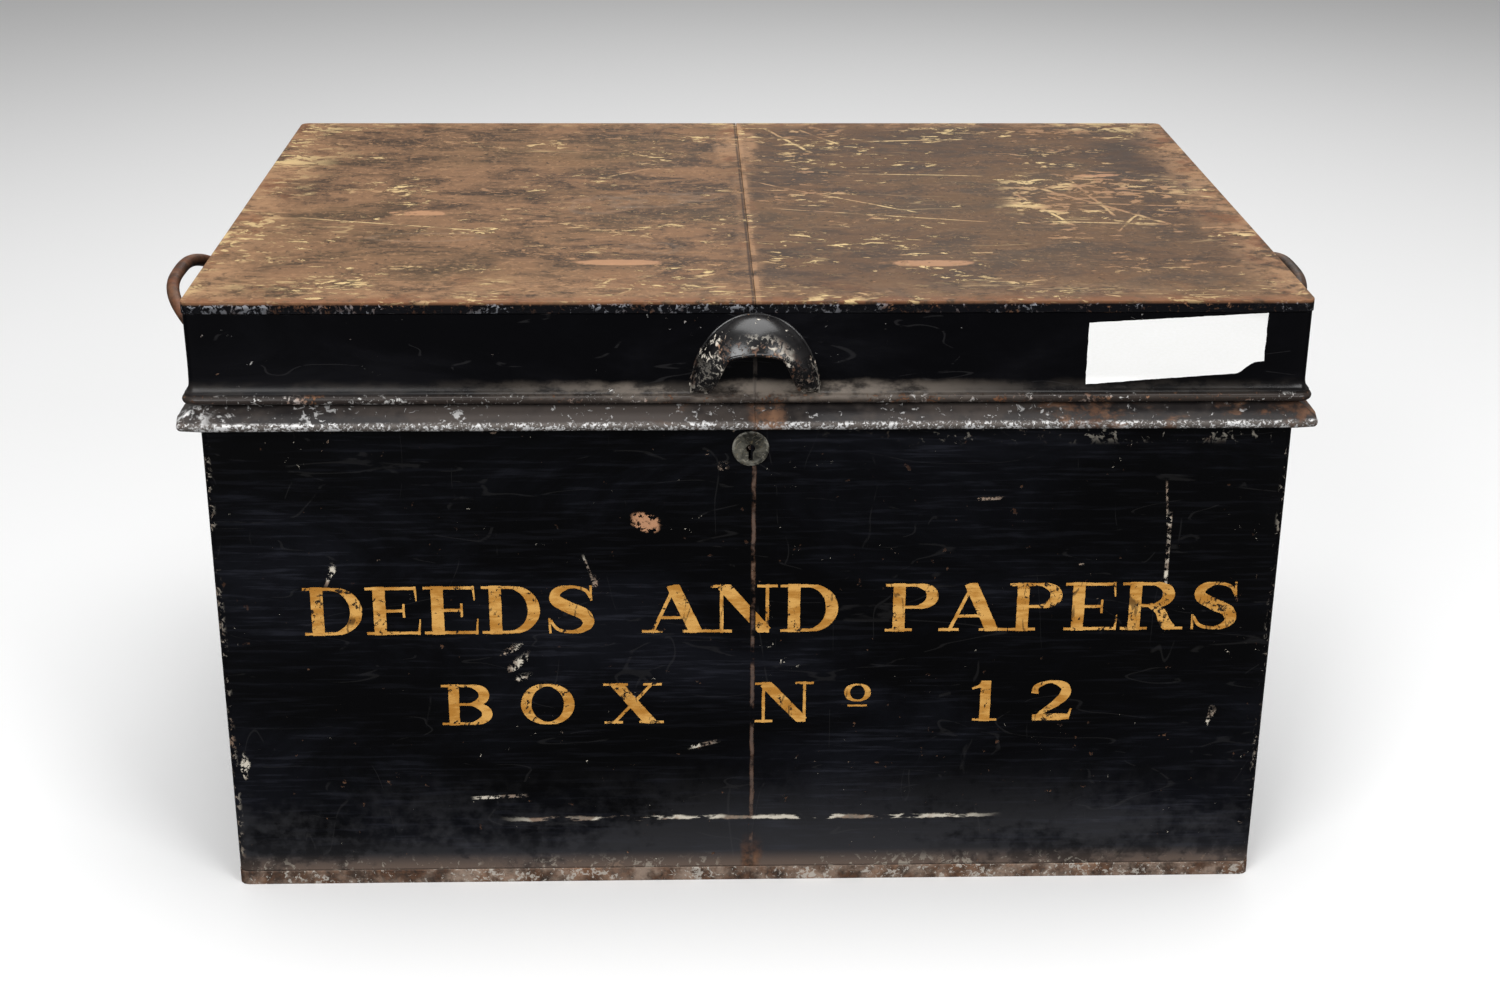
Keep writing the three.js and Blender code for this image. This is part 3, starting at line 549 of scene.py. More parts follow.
def makeLidSidePaint():
    paint, tree, shader, where = newPaint("black japan on the lid side")
    x, y, z = axesOf(tree, where)
    sheet = japanOn(tree, where)
    # a faint painted sheen over the black, where the haze mask lies
    colour = blendColour(tree, product(tree, sheet["Haze"], 0.5), lidPaint["black"], lidPaint["sheenHaze"])
    foot = rimLow.z
    # dust lies on the cove above the rolled edge
    settled = dusted(tree, where, 20.0, 0.3)
    onCove = raggedLine(tree, where, 45.0, z, foot + 0.0064, 0.0074, 0.007)
    middle = ramp(tree, size(tree, minus(tree, x, seamX)), 0.17, 0.02, 0.10, 1.0)
    patchy = ramp(tree, noiseOf(tree, stretched(tree, where, 0.5, 1, 1), 75.0, 6.0, 0.7), 0.42, 0.58, 0.2,
                  1.0)
    paleBand = product(tree, onCove, ramp(tree, settled, 0, 0.5, 0.3, 0.85), middle, patchy)
    colour = blendColour(tree, paleBand, colour, lidPaint["dust"])
    rubbed = scratched(tree, stretched(tree, where, 0.22, 0.22, 1), 40.0, 0.006, 0.5)
    colour = blendColour(tree, product(tree, rubbed, 0.05), colour, lidPaint["scuff"])
    rusted = rustOn(tree, where, 260.0)
    many = flaked(tree, where, 400.0, 0.60)
    few = flaked(tree, where, 210.0, 0.73)
    onBead = ramp(tree, z, foot + 0.0062, foot + 0.0040)
    knocked = largest(tree, few, product(tree, many, onBead))
    colour = blendColour(tree, product(tree, onBead, 0.35), colour, lidPaint["bead"])
    metalHere = ramp(tree, noiseOf(tree, where, 28.0, 3.0), 0.46, 0.56)
    under = blendColour(tree, metalHere, rusted["Color"], lidPaint["bare"])
    colour = blendColour(tree, knocked, colour, under)
    seam = raggedLine(tree, where, 120.0, x, seamX, 0.0016, 0.002)
    seam = product(tree, seam, ramp(tree, noiseOf(tree, where, 80.0, 4.0), 0.42, 0.55), 0.5)
    colour = blendColour(tree, seam, colour, lidPaint["seam"])
    rough = mixValue(tree, sheet["Haze"], lidPaint["gloss"], 0.36)
    rough = mixValue(tree, largest(tree, knocked, paleBand), rough, 0.62)
    feed(tree, shader, colour, rough, product(tree, knocked, metalHere, 0.7))
    shader.inputs["Specular IOR Level"].default_value = 0.24
    relief = minus(tree, product(tree, sheet["Height"], 0.10), knocked)
    addBump(tree, shader, relief, 0.0002)
    return paint


topPaint = {
    "pit": tone(40, 33, 28),
    "stain": tone(58, 46, 40),
    "seamLine": tone(52, 38, 30),
    "patch": tone(178, 134, 100),
    "ring": tone(150, 130, 112),
    "rim": tone(14, 14, 17),
    "rimBare": tone(150, 152, 158),
    "underDark": tone(20, 19, 19),
    "underLight": tone(52, 46, 42),
    "brown": tone(125, 94, 69),
    "dark": tone(62, 47, 36),
    "olive": tone(97, 76, 52),
    "tan": tone(158, 122, 90),
    "pale": tone(216, 188, 136),
    "rustTone": tone(124, 82, 56),
    # bare patches: x, y, half width, half depth, tilt
    "patches": [(-0.0723, -0.1387, 0.026, 0.006, 0), (0.1034, -0.1398, 0.022, 0.007, 0),
                (-0.195, -0.030, 0.016, 0.006, 0), (0.236, 0.062, 0.012, 0.004, 10)],
    "rings": [(-0.0568, -0.0007, 0.030, 0.017, 20), (-0.086, -0.012, 0.020, 0.024, -30),
              (-0.03, 0.008, 0.017, 0.012, 0), (-0.19, -0.085, 0.034, 0.010, 0),
              (-0.05, -0.11, 0.015, 0.012, 0)],
    # scored lines: from x, y to x, y, half width
    "scores": [(0.010, 0.045, 0.108, -0.030, 0.0008), (0.190, 0.030, 0.262, -0.062, 0.0014),
               (0.180, -0.050, 0.268, -0.058, 0.0010), (0.172, 0.020, 0.200, -0.062, 0.0010),
               (0.205, -0.006, 0.292, -0.018, 0.0011), (0.212, 0.060, 0.228, -0.040, 0.0009),
               (0.236, 0.030, 0.300, 0.004, 0.0008), (0.248, -0.020, 0.222, -0.075, 0.0008),
               (0.060, 0.070, 0.160, 0.060, 0.0006), (0.018, -0.020, 0.150, -0.052, 0.0006),
               (-0.270, -0.040, -0.150, -0.072, 0.0006), (0.020, 0.200, 0.052, 0.125, 0.0011),
               (0.045, 0.195, 0.072, 0.150, 0.0010), (0.012, 0.165, 0.075, 0.185, 0.0009),
               (0.090, 0.160, 0.160, 0.166, 0.0009), (-0.085, 0.060, -0.055, 0.085, 0.0008)],
}


def makeTopPaint():
    paint, tree, shader, where = newPaint("worn lid top")
    x, y, z = axesOf(tree, where)
    wide = noiseOf(tree, stretched(tree, where, 0.6, 1, 1), 34.0, 9.0, 0.76, 0.5)
    cloudy = noiseOf(tree, stretched(tree, where, 0.6, 1, 1), 7.0, 5.0, 0.6)
    wiped = noiseOf(tree, stretched(tree, where, 0.16, 1, 1), 150.0, 5.0, 0.7)
    grit = noiseOf(tree, where, 90.0, 7.0, 0.72)
    colour = blendColour(tree, ramp(tree, wide, 0.40, 0.58), topPaint["dark"], topPaint["brown"])
    colour = blendColour(tree, ramp(tree, cloudy, 0.42, 0.62, 0.0, 0.5), colour, topPaint["olive"])
    colour = blendColour(tree, ramp(tree, wiped, 0.52, 0.68, 0.0, 0.3), colour, topPaint["tan"])
    speckle = ramp(tree, noiseOf(tree, where, 320.0, 4.0, 0.7), 0.54, 0.64, 0.0, 0.55)
    colour = blendColour(tree, speckle, colour, topPaint["tan"])
    pits = ramp(tree, noiseOf(tree, where, 240.0, 3.0, 0.6), 0.38, 0.33, 0.0, 0.7)
    colour = blendColour(tree, pits, colour, topPaint["pit"])
    # the right half is darker, above all toward its right edge
    darker = product(tree, ramp(tree, x, 0.0, 0.16, 0.6, 0.75), ramp(tree, x, -0.02, 0.02))
    colour = blendColour(tree, product(tree, darker, ramp(tree, cloudy, 0.36, 0.6, 1.0, 0.55)), colour,
                         topPaint["dark"])
    farRight = product(tree, markMask(tree, x, y, (0.262, 0.03, 0.035, 0.10, 0)),
                       ramp(tree, grit, 0.4, 0.55, 0.75, 0.3))
    colour = blendColour(tree, farRight, colour, topPaint["stain"])
    # dust and rust along the edges and the seam
    sideX = ramp(tree, size(tree, x), topHigh.x - 0.040, topHigh.x - 0.004)
    frontY = product(tree, ramp(tree, y, topLow.y + 0.075, topLow.y + 0.004),
                     ramp(tree, x, -0.1, 0.08, 1.0, 0.45))
    backY = ramp(tree, y, topHigh.y - 0.022, topHigh.y - 0.004)
    alongSeam = raggedLine(tree, where, 26.0, x, seamX, 0.009, 0.012)
    seamEnd = markMask(tree, x, y, (seamX - 0.002, 0.150, 0.016, 0.075, 0))
    edge = largest(tree, sideX, product(tree, frontY, 0.7), product(tree, alongSeam, 0.45),
                   product(tree, seamEnd, 0.9), product(tree, backY, 0.7))
    edge = product(tree, edge, ramp(tree, grit, 0.38, 0.56))
    rusted = rustOn(tree, where, 210.0)
    tan = blendColour(tree, ramp(tree, noiseOf(tree, where, 34.0, 5.0), 0.5, 0.64), topPaint["tan"],
                      topPaint["rustTone"])
    colour = blendColour(tree, product(tree, edge, 0.8), colour, tan)
    frontLine = product(tree, ramp(tree, y, topLow.y + 0.012, topLow.y + 0.002),
                        ramp(tree, grit, 0.36, 0.52))
    colour = blendColour(tree, product(tree, frontLine, 0.7), colour, topPaint["rustTone"])
    # the seam itself, a pale worn ridge beside a thin dark line
    ridge = raggedLine(tree, where, 60.0, x, seamX + 0.0012, 0.0026, 0.0015)
    colour = blendColour(tree, product(tree, ridge, ramp(tree, grit, 0.38, 0.56, 0.0, 0.7)), colour,
                         topPaint["tan"])
    seam = raggedLine(tree, where, 60.0, x, seamX - 0.0012, 0.0011, 0.001)
    colour = blendColour(tree, product(tree, seam, 0.75), colour, topPaint["seamLine"])
    # flaked paint: crowded at the back by the seam, over the right third and down the left edge
    ragged = noiseOf(tree, where, 46.0, 5.0, 0.65)
    tornX = plus(tree, x, product(tree, minus(tree, ragged, 0.5), 0.05))
    tornY = plus(tree, y, product(tree, minus(tree, grit, 0.5), 0.04))
    nearBack = markMask(tree, tornX, tornY, (0.040, 0.180, 0.042, 0.034, 0))
    rightThird = markMask(tree, tornX, tornY, (0.225, 0.010, 0.065, 0.075, -15))
    backRight = product(tree, markMask(tree, tornX, tornY, (0.19, 0.196, 0.10, 0.016, 0)), 0.8)
    leftEdge = ramp(tree, tornX, -0.250, -0.296, 0.0, 0.75)
    crowd = largest(tree, nearBack, rightThird, leftEdge, backRight, product(tree, backY, 0.6))
    flakes = flaked(tree, stretched(tree, where, 0.6, 1, 1), 105.0, 0.56)
    small = flaked(tree, stretched(tree, where, 0.5, 1, 1), 190.0, 0.638)
    slips = flaked(tree, stretched(tree, where, 0.3, 1, 1), 260.0, 0.60)
    slips = product(tree, slips, ramp(tree, frontY, 0.1, 0.7, 0.0, 0.8))
    slanted = place(tree, "Mapping", {"Vector": where, "Rotation": (0, 0, 0.7),
                                      "Scale": (0.16, 1, 1)}).outputs["Vector"]
    fineLines = scratched(tree, slanted, 30.0, 0.006, 0.55)
    longLines = scratched(tree, stretched(tree, where, 0.25, 1, 1), 30.0, 0.005, 0.53)
    scored = product(tree, largest(tree, fineLines, longLines), 0.3)
    warpX = plus(tree, x, product(tree, minus(tree, ragged, 0.5), 0.006))
    broken = ramp(tree, noiseOf(tree, where, 75.0, 5.0, 0.7), 0.42, 0.5, 0.15, 1.0)
    for line in topPaint["scores"]:
        scored = largest(tree, scored, product(tree, scoreMask(tree, warpX, y, line), broken))
    bare = largest(tree, product(tree, flakes, crowd), small, scored, slips)
    bareTone = blendColour(tree, ramp(tree, noiseOf(tree, where, 18.0, 4.0), 0.42, 0.6), topPaint["tan"],
                           topPaint["pale"])
    colour = blendColour(tree, product(tree, bare, 0.85), colour, bareTone)
    patch = markMask(tree, tornX, y, topPaint["patches"][0])
    for mark in topPaint["patches"][1:]:
        patch = largest(tree, patch, markMask(tree, tornX, y, mark))
    patch = product(tree, patch, ramp(tree, grit, 0.34, 0.44))
    colour = blendColour(tree, product(tree, patch, 0.75), colour, topPaint["patch"])
    # old water rings
    for mark in topPaint["rings"]:
        grown = list(mark)
        grown[2] *= 0.9
        grown[3] *= 0.88
        ring = minus(tree, markMask(tree, tornX, y, mark), markMask(tree, tornX, y, grown))
        colour = blendColour(tree, product(tree, ring, 0.4), colour, topPaint["ring"])
    # black japan still covers the folded rim at the sides
    onSide = ramp(tree, z, topHigh.z - 0.0006, topHigh.z - 0.0022)
    rimChips = flaked(tree, where, 340.0, 0.595)
    upper = ramp(tree, z, topHigh.z - 0.0048, topHigh.z - 0.0014)
    rimBare = product(tree, rimChips, ramp(tree, upper, 0, 1, 0.35, 1.0))
    pale = blendColour(tree, ramp(tree, noiseOf(tree, where, 35.0, 3.0), 0.45, 0.55), topPaint["rimBare"],
                       rusted["Color"])
    side = blendColour(tree, rimBare, topPaint["rim"], pale)
    colour = blendColour(tree, onSide, colour, side)
    # the underside keeps its black, dulled and a little rusted
    facing = place(tree, "SeparateXYZ", {"Vector": place(tree, "TexCoord").outputs["Normal"]}).outputs[2]
    beneath = ramp(tree, facing, -0.4, -0.8)
    inner = blendColour(tree, ramp(tree, cloudy, 0.44, 0.62), topPaint["underDark"], topPaint["underLight"])
    inner = blendColour(tree, ramp(tree, noiseOf(tree, where, 60.0, 6.0, 0.7), 0.56, 0.66, 0.0, 0.7), inner,
                        rusted["Color"])
    colour = blendColour(tree, beneath, colour, inner)
    rough = ramp(tree, wide, 0.3, 0.7, 0.5, 0.68)
    rough = mixValue(tree, onSide, rough, mixValue(tree, rimBare, 0.26, 0.6))
    feed(tree, shader, colour, rough)
    shader.inputs["Specular IOR Level"].default_value = 0.18
    relief = minus(tree, product(tree, wiped, 0.35), largest(tree, bare, product(tree, edge, grit)))
    addBump(tree, shader, relief, 0.00028)
    return paint


mouldPaint = {
    "rubbed": tone(128, 120, 114),
    "slope": tone(66, 59, 55),
    "slopeDark": tone(34, 31, 31),
    "bare": tone(236, 235, 234),
    "black": tone(12, 12, 14),
}


def makeMouldingPaint():
    paint, tree, shader, where = newPaint("worn moulding")
    x, y, z = axesOf(tree, where)
    foot = mouldLow.z
    sheet = japanOn(tree, where)
    settled = dusted(tree, where, 14.0, 0.34)
    slope = blendColour(tree, settled, mouldPaint["slopeDark"], mouldPaint["slope"])
    under = ramp(tree, z, foot + 0.0042, foot + 0.0022)
    colour = blendColour(tree, under, slope, mouldPaint["black"])
    # the nose is knocked bright along its whole length
    outX = ramp(tree, size(tree, x), mouldHigh.x - 0.0052, mouldHigh.x - 0.0022)
    outY = ramp(tree, size(tree, y), mouldHigh.y - 0.0052, mouldHigh.y - 0.0022)
    nose = product(tree, largest(tree, outX, outY), ramp(tree, z, foot + 0.0002, foot + 0.0012),
                   ramp(tree, z, foot + 0.0060, foot + 0.0042))
    colour = blendColour(tree, product(tree, nose, 0.5), colour, mouldPaint["rubbed"])
    worn = flaked(tree, where, 560.0, 0.545)
    speck = flaked(tree, where, 240.0, 0.64)
    bare = largest(tree, product(tree, worn, nose), product(tree, speck, ramp(tree, nose, 0, 1, 0.5, 1)))
    rusted = rustOn(tree, where, 230.0)
    # the corners are worn down to bright iron
    atX = ramp(tree, size(tree, x), wallHigh.x - 0.012, wallHigh.x + 0.002)
    atY = ramp(tree, size(tree, y), wallHigh.y - 0.012, wallHigh.y + 0.002)
    corner = product(tree, atX, atY)
    cornerWear = product(tree, corner, ramp(tree, noiseOf(tree, where, 170.0, 6.0, 0.7), 0.5, 0.58))
    leftCorner = ramp(tree, x, -0.2, -0.3)
    bare = largest(tree, bare, product(tree, cornerWear, leftCorner,
                                       ramp(tree, z, foot + 0.0005, foot + 0.003)))
    rustBand = raggedLine(tree, where, 30.0, x, seamX + 0.004, 0.012, 0.02)
    rightRust = ramp(tree, x, 0.282, 0.305)
    scattered = ramp(tree, noiseOf(tree, stretched(tree, where, 0.5, 1, 1), 30.0, 5.0, 0.65), 0.545, 0.61)
    scattered = product(tree, scattered, ramp(tree, x, -0.05, 0.1, 0.35, 1.0))
    iron = largest(tree, rustBand, rightRust, scattered)
    iron = product(tree, iron, ramp(tree, noiseOf(tree, where, 110.0, 6.0, 0.7), 0.4, 0.54))
    colour = blendColour(tree, product(tree, iron, 0.7), colour, rusted["Color"])
    bare = product(tree, bare, minus(tree, 1.0, product(tree, iron, 0.7)))
    colour = blendColour(tree, bare, colour, mouldPaint["bare"])
    rough = mixValue(tree, bare, ramp(tree, settled, 0, 1, 0.46, 0.62), 0.42)
    rough = mixValue(tree, iron, rough, 0.78)
    feed(tree, shader, colour, rough, product(tree, bare, 0.35))
    shader.inputs["Specular IOR Level"].default_value = 0.35
    relief = minus(tree, product(tree, sheet["Height"], 0.10), product(tree, bare, 0.8))
    relief = plus(tree, relief, product(tree, iron, rusted["Height"], 0.8))
    addBump(tree, shader, relief, 0.00022)
    return paint


hoodPaint = {
    "black": tone(10, 10, 12),
    "sheenHaze": tone(46, 44, 44),
    "undercoat": tone(214, 206, 192),
}


def makeHoodPaint():
    paint, tree, shader, where = newPaint("black japan on the finger hood")
    x, y, z = axesOf(tree, where)
    hoodLow = boxOf("finger_hood")[0]
    sheet = japanOn(tree, where)
    # grey painted sheen over the black dome, where the haze mask lies
    colour = blendColour(tree, product(tree, sheet["Haze"], 0.7), hoodPaint["black"], hoodPaint["sheenHaze"])
    proud = ramp(tree, y, hoodLow.y + 0.008, hoodLow.y + 0.0005)
    legs = ramp(tree, z, hoodLow.z + 0.024, hoodLow.z + 0.004)
    many = flaked(tree, where, 330.0, 0.55)
    few = flaked(tree, where, 280.0, 0.635)
    knocked = largest(tree, few, product(tree, many, largest(tree, proud, product(tree, legs, 0.45))))
    rusted = rustOn(tree, where, 300.0)
    which = ramp(tree, noiseOf(tree, where, 60.0, 3.0), 0.42, 0.55)
    under = blendColour(tree, which, hoodPaint["undercoat"], rusted["Color"])
    colour = blendColour(tree, knocked, colour, under)
    rough = mixValue(tree, sheet["Haze"], 0.2, 0.34)
    feed(tree, shader, colour, mixValue(tree, knocked, rough, 0.6))
    shader.inputs["Specular IOR Level"].default_value = 0.55
    relief = minus(tree, product(tree, sheet["Height"], 0.2), knocked)
    addBump(tree, shader, relief, 0.00025)
    return paint


# rough iron that has lost its paint: the bails and the foot rim
def makeRustyIron(name, dark, light, amount, rough, bright=0.0):
    paint, tree, shader, where = newPaint(name)
    rusted = rustOn(tree, where, 260.0)
    rubbed = noiseOf(tree, where, 70.0, 5.0, 0.65)
    base = blendColour(tree, ramp(tree, rubbed, 0.4, 0.62), dark, light)
    colour = blendColour(tree, ramp(tree, noiseOf(tree, where, 38.0, 6.0, 0.7), 0.38, 0.6, 0.15, amount),
                         base, rusted["Color"])
    polished = flaked(tree, where, 320.0, 0.6)
    colour = blendColour(tree, product(tree, polished, bright), colour, tone(206, 200, 190))
    feed(tree, shader, colour, ramp(tree, rubbed, 0.3, 0.7, rough - 0.12, rough + 0.12))
    shader.inputs["Metallic"].default_value = 0.15
    addBump(tree, shader, plus(tree, rusted["Height"], product(tree, rubbed, 1.5)), 0.00035)
    return paint


# black iron of the hinges, brackets, rivets and lock
fittingPaint = {
    "dark": tone(24, 23, 23),
    "light": tone(52, 49, 46),
    "bare": tone(164, 160, 154),
}


def makeBlackIron():
    paint, tree, shader, where = newPaint("black iron fittings")
    grain = noiseOf(tree, where, 240.0, 6.0, 0.65)
    cloud = noiseOf(tree, where, 34.0, 4.0)
    colour = blendColour(tree, ramp(tree, grain, 0.4, 0.62), fittingPaint["dark"], fittingPaint["light"])
    rusted = rustOn(tree, where, 320.0)
    iron = ramp(tree, cloud, 0.5, 0.62, 0.0, 0.7)
    colour = blendColour(tree, iron, colour, rusted["Color"])
    bare = flaked(tree, where, 420.0, 0.62)
    colour = blendColour(tree, product(tree, bare, 0.7), colour, fittingPaint["bare"])
    feed(tree, shader, colour, ramp(tree, cloud, 0.35, 0.65, 0.34, 0.62))
    shader.inputs["Metallic"].default_value = 0.4
    addBump(tree, shader, grain, 0.0002)
    return paint


brassPaint = {
    "dark": tone(48, 47, 42),
    "light": tone(104, 102, 92),
    "speck": tone(140, 126, 96),
    "rim": tone(150, 148, 138),
    "scratch": tone(160, 154, 138),
}


def makeBrass():
    paint, tree, shader, where = newPaint("tarnished brass")
    cloud = noiseOf(tree, where, 120.0, 6.0, 0.7, 0.5)
    fine = noiseOf(tree, where, 700.0, 4.0)
    colour = blendColour(tree, ramp(tree, cloud, 0.38, 0.6), brassPaint["dark"], brassPaint["light"])
    colour = blendColour(tree, ramp(tree, fine, 0.55, 0.7, 0.0, 0.4), colour, brassPaint["speck"])
    middle = place(tree, "VectorMath", {0: where, 1: (discLow + discHigh) / 2},
                   operation="DISTANCE").outputs["Value"]
    rim = ramp(tree, middle, 0.0082, 0.0098)
    worn = ramp(tree, noiseOf(tree, where, 260.0, 4.0), 0.45, 0.55)
    colour = blendColour(tree, product(tree, rim, worn, 0.75), colour, brassPaint["rim"])
    marks = scratched(tree, where, 150.0, 0.02, 0.46)
    colour = blendColour(tree, product(tree, marks, 0.4), colour, brassPaint["scratch"])
    feed(tree, shader, colour, ramp(tree, cloud, 0.35, 0.65, 0.42, 0.6))
    shader.inputs["Metallic"].default_value = 0.5
    addBump(tree, shader, plus(tree, cloud, product(tree, marks, -0.5)), 0.0002)
    return paint


giltPaint = {
    "deep": tone(186, 128, 52),
    "bright": tone(226, 172, 92),
    "crack": tone(42, 30, 18),
}


def makeGilt():
    paint, tree, shader, where = newPaint("old gilt paint")
    brushed = noiseOf(tree, stretched(tree, where, 0.4, 1, 1.6), 120.0, 5.0, 0.6)
    colour = blendColour(tree, ramp(tree, brushed, 0.38, 0.62), giltPaint["deep"], giltPaint["bright"])
    cracks = flaked(tree, where, 300.0, 0.625)
    lines = scratched(tree, stretched(tree, where, 1, 1, 0.3), 60.0, 0.012, 0.5)
    gone = largest(tree, cracks, product(tree, lines, 0.7))
    colour = blendColour(tree, gone, colour, giltPaint["crack"])
    feed(tree, shader, colour, ramp(tree, brushed, 0.3, 0.7, 0.4, 0.55))
    shader.inputs["Specular IOR Level"].default_value = 0.35
    addBump(tree, shader, minus(tree, product(tree, brushed, 0.5), gone), 0.00012)
    return paint


paperPaint = {
    "shade": tone(252, 252, 250),
    "white": tone(255, 255, 254),
    "stain": tone(232, 228, 216),
}


def makePaper():
    paint, tree, shader, where = newPaint("blank paper")
    fibre = noiseOf(tree, stretched(tree, where, 1, 1, 2.5), 500.0, 4.0, 0.6)
    stain = noiseOf(tree, where, 22.0, 4.0, 0.6)
    colour = blendColour(tree, ramp(tree, fibre, 0.35, 0.65), paperPaint["shade"], paperPaint["white"])
    colour = blendColour(tree, ramp(tree, stain, 0.58, 0.74, 0.0, 0.2), colour, paperPaint["stain"])
    feed(tree, shader, colour, ramp(tree, fibre, 0.3, 0.7, 0.82, 0.92))
    addBump(tree, shader, plus(tree, fibre, product(tree, stain, 2)), 0.00006)
    return paint


bodyJapan = makeBodyPaint()
lidJapan = makeLidSidePaint()
wornTop = makeTopPaint()
wornMoulding = makeMouldingPaint()
hoodJapan = makeHoodPaint()
footIron = makeRustyIron("rusty foot rim", tone(70, 58, 50), tone(168, 148, 132), 0.75, 0.68, 0.7)
leftBailIron = makeRustyIron("brown rusted bail", tone(66, 40, 26), tone(112, 66, 40), 0.6, 0.5)
rightBailIron = makeRustyIron("dark bail", tone(30, 26, 24), tone(70, 54, 42), 0.35, 0.45)
blackIron = makeBlackIron()
oldBrass = makeBrass()
oldGilt = makeGilt()
blankPaper = makePaper()
print("paints ready")

# sheet metal shapes

sheetMade = {"thick": 0.9 * mm, "step": 9 * mm, "seamGap": 0.12 * mm}
lidOver = 3.45 * mm      # the lid's side stands this far outside the body wall


def newPiece(name, points, faces, paint, body, stands=(), smooth=True, keen=35):
    mesh = bpy.data.meshes.new(name)
    mesh.from_pydata([tuple(p) for p in points], [], faces)
    tidy = bmesh.new()
    tidy.from_mesh(mesh)
    bmesh.ops.remove_doubles(tidy, verts=tidy.verts, dist=1e-6)
    bmesh.ops.recalc_face_normals(tidy, faces=tidy.faces)
    tidy.to_mesh(mesh)
    tidy.free()
    if smooth:
        mesh.shade_smooth()
        mesh.set_sharp_from_angle(angle=math.radians(keen))
    mesh.materials.append(paint)
    piece = bpy.data.objects.new(name, mesh)
    scene.collection.objects.link(piece)
    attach(piece, body)
    if stands:
        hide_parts(*stands)
    return piece


def cutter(low, high, rounded=False):
    # a block, or a bar along Y, that takes metal away
    shape = bmesh.new()
    if rounded:
        bmesh.ops.create_cone(shape, cap_ends=True, segments=40, radius1=0.5, radius2=0.5, depth=1)
        bmesh.ops.rotate(shape, verts=shape.verts, matrix=Matrix.Rotation(math.pi / 2, 3, "X"))
    else:
        bmesh.ops.create_cube(shape, size=1)
    low, high = Vector(low), Vector(high)
    move = Matrix.Translation((low + high) / 2) @ Matrix.Diagonal((*(high - low), 1))
    bmesh.ops.transform(shape, matrix=move, verts=shape.verts)
    mesh = bpy.data.meshes.new("cutter")
    shape.to_mesh(mesh)
    shape.free()
    tool = bpy.data.objects.new("cutter", mesh)
    scene.collection.objects.link(tool)
    return tool


def carve(piece, *tools):
    for tool in tools:
        cut = piece.modifiers.new("cut", "BOOLEAN")
        cut.object = tool
        cut.operation = "DIFFERENCE"
        cut.solver = "EXACT"
    bpy.context.view_layer.update()
    piece.data = bpy.data.meshes.new_from_object(piece.evaluated_get(bpy.context.evaluated_depsgraph_get()))
    piece.modifiers.clear()
    for tool in tools:
        bpy.data.objects.remove(tool)


keyhole = {"round": 2.5 * mm, "slot": 1.2 * mm, "long": 7 * mm}


def keyholeTools(y0, y1):
    middle = (discLow + discHigh) / 2
    wide, slot = keyhole["round"], keyhole["slot"]
    return [cutter((middle.x - wide, y0, middle.z - wide), (middle.x + wide, y1, middle.z + wide), True),
            cutter((middle.x - slot, y0, middle.z - keyhole["long"]), (middle.x + slot, y1, middle.z))]


def arcPoints(centreX, centreZ, radius, start, end, steps):
    turns = (math.radians(start + (end - start) * i / steps) for i in range(steps + 1))
    return [(centreX + radius * math.cos(a), centreZ + radius * math.sin(a)) for a in turns]


def straight(first, last, step):
    count = max(1, round(math.dist(first, last) / step))
    return [tuple(a + (b - a) * i / count for a, b in zip(first, last)) for i in range(count)]


def sideSteps(points):
    # sideways step at each point that keeps the width round a bend
    steps = []
    for i, point in enumerate(points):
        ways = []
        if i > 0:
            ways.append((Vector(point) - Vector(points[i - 1])).normalized())
        if i < len(points) - 1:
            ways.append((Vector(points[i + 1]) - Vector(point)).normalized())
        first, second = ways[0], ways[-1]
        steps.append(Vector((-first.y - second.y, first.x + second.x)) / (1 + first.dot(second)))
    return steps


def bentSheet(line, thick):
    sides = sideSteps(line)
    outer = [(p[0] + s.x * thick / 2, p[1] + s.y * thick / 2) for p, s in zip(line, sides)]
    inner = [(p[0] - s.x * thick / 2, p[1] - s.y * thick / 2) for p, s in zip(line, sides)]
    return outer + inner[::-1]


def roundedRoute(corners, radius, step, arcSteps=6):
    # corners are joined by straight runs in small steps, and rounded
    stops = [corners[0]]
    for before, corner, after in zip(corners, corners[1:], corners[2:]):
        back = (Vector(before) - Vector(corner)).normalized()
        ahead = (Vector(after) - Vector(corner)).normalized()
        centre = Vector(corner) + (back + ahead) * radius
        for k in range(arcSteps + 1):
            turn = math.pi / 2 * k / arcSteps
            stops.append(tuple(centre - ahead * radius * math.cos(turn) - back * radius * math.sin(turn)))
    stops.append(corners[-1])
    route = []
    for first, last in zip(stops, stops[1:]):
        route += straight(first, last, step) if math.dist(first, last) > step else [first]
    return route + [stops[-1]]


def halfCorners(side, halfX, halfY, start):
    return [(start, side * halfY), (side * halfX, side * halfY), (side * halfX, -side * halfY),
            (start, -side * halfY)]


def ringFaces(rings, count, first=0):
    # joins rings of points into a closed skin with a face over each end
    faces = []
    for k in range(rings - 1):
        row = first + k * count
        for i in range(count):
            a, b = row + i, row + (i + 1) % count
            faces.append((a, b, b + count, a + count))
    last = first + (rings - 1) * count
    return faces + [tuple(range(first, first + count)), tuple(range(last, last + count))]


def sweep(section, route, shift=None, mitre=(False, False)):
    # the section's first value is outward and its second is up
    sides = sideSteps(route)
    if mitre[0]:
        sides[0] = sides[0] - (Vector(route[1]) - Vector(route[0])).normalized()
    if mitre[1]:
        sides[-1] = sides[-1] + (Vector(route[-1]) - Vector(route[-2])).normalized()
    points = []
    for stop, side in zip(route, sides):
        for out, up in section:
            point = Vector((stop[0] + side.x * out, stop[1] + side.y * out, up))
            if shift:
                point += shift(point, Vector((side.x, side.y, 0)).normalized(), out)
            points.append(point)
    return points, ringFaces(len(route), len(section))


def ripple(x, y, z):
    return noise.noise(Vector((x, y, z)))


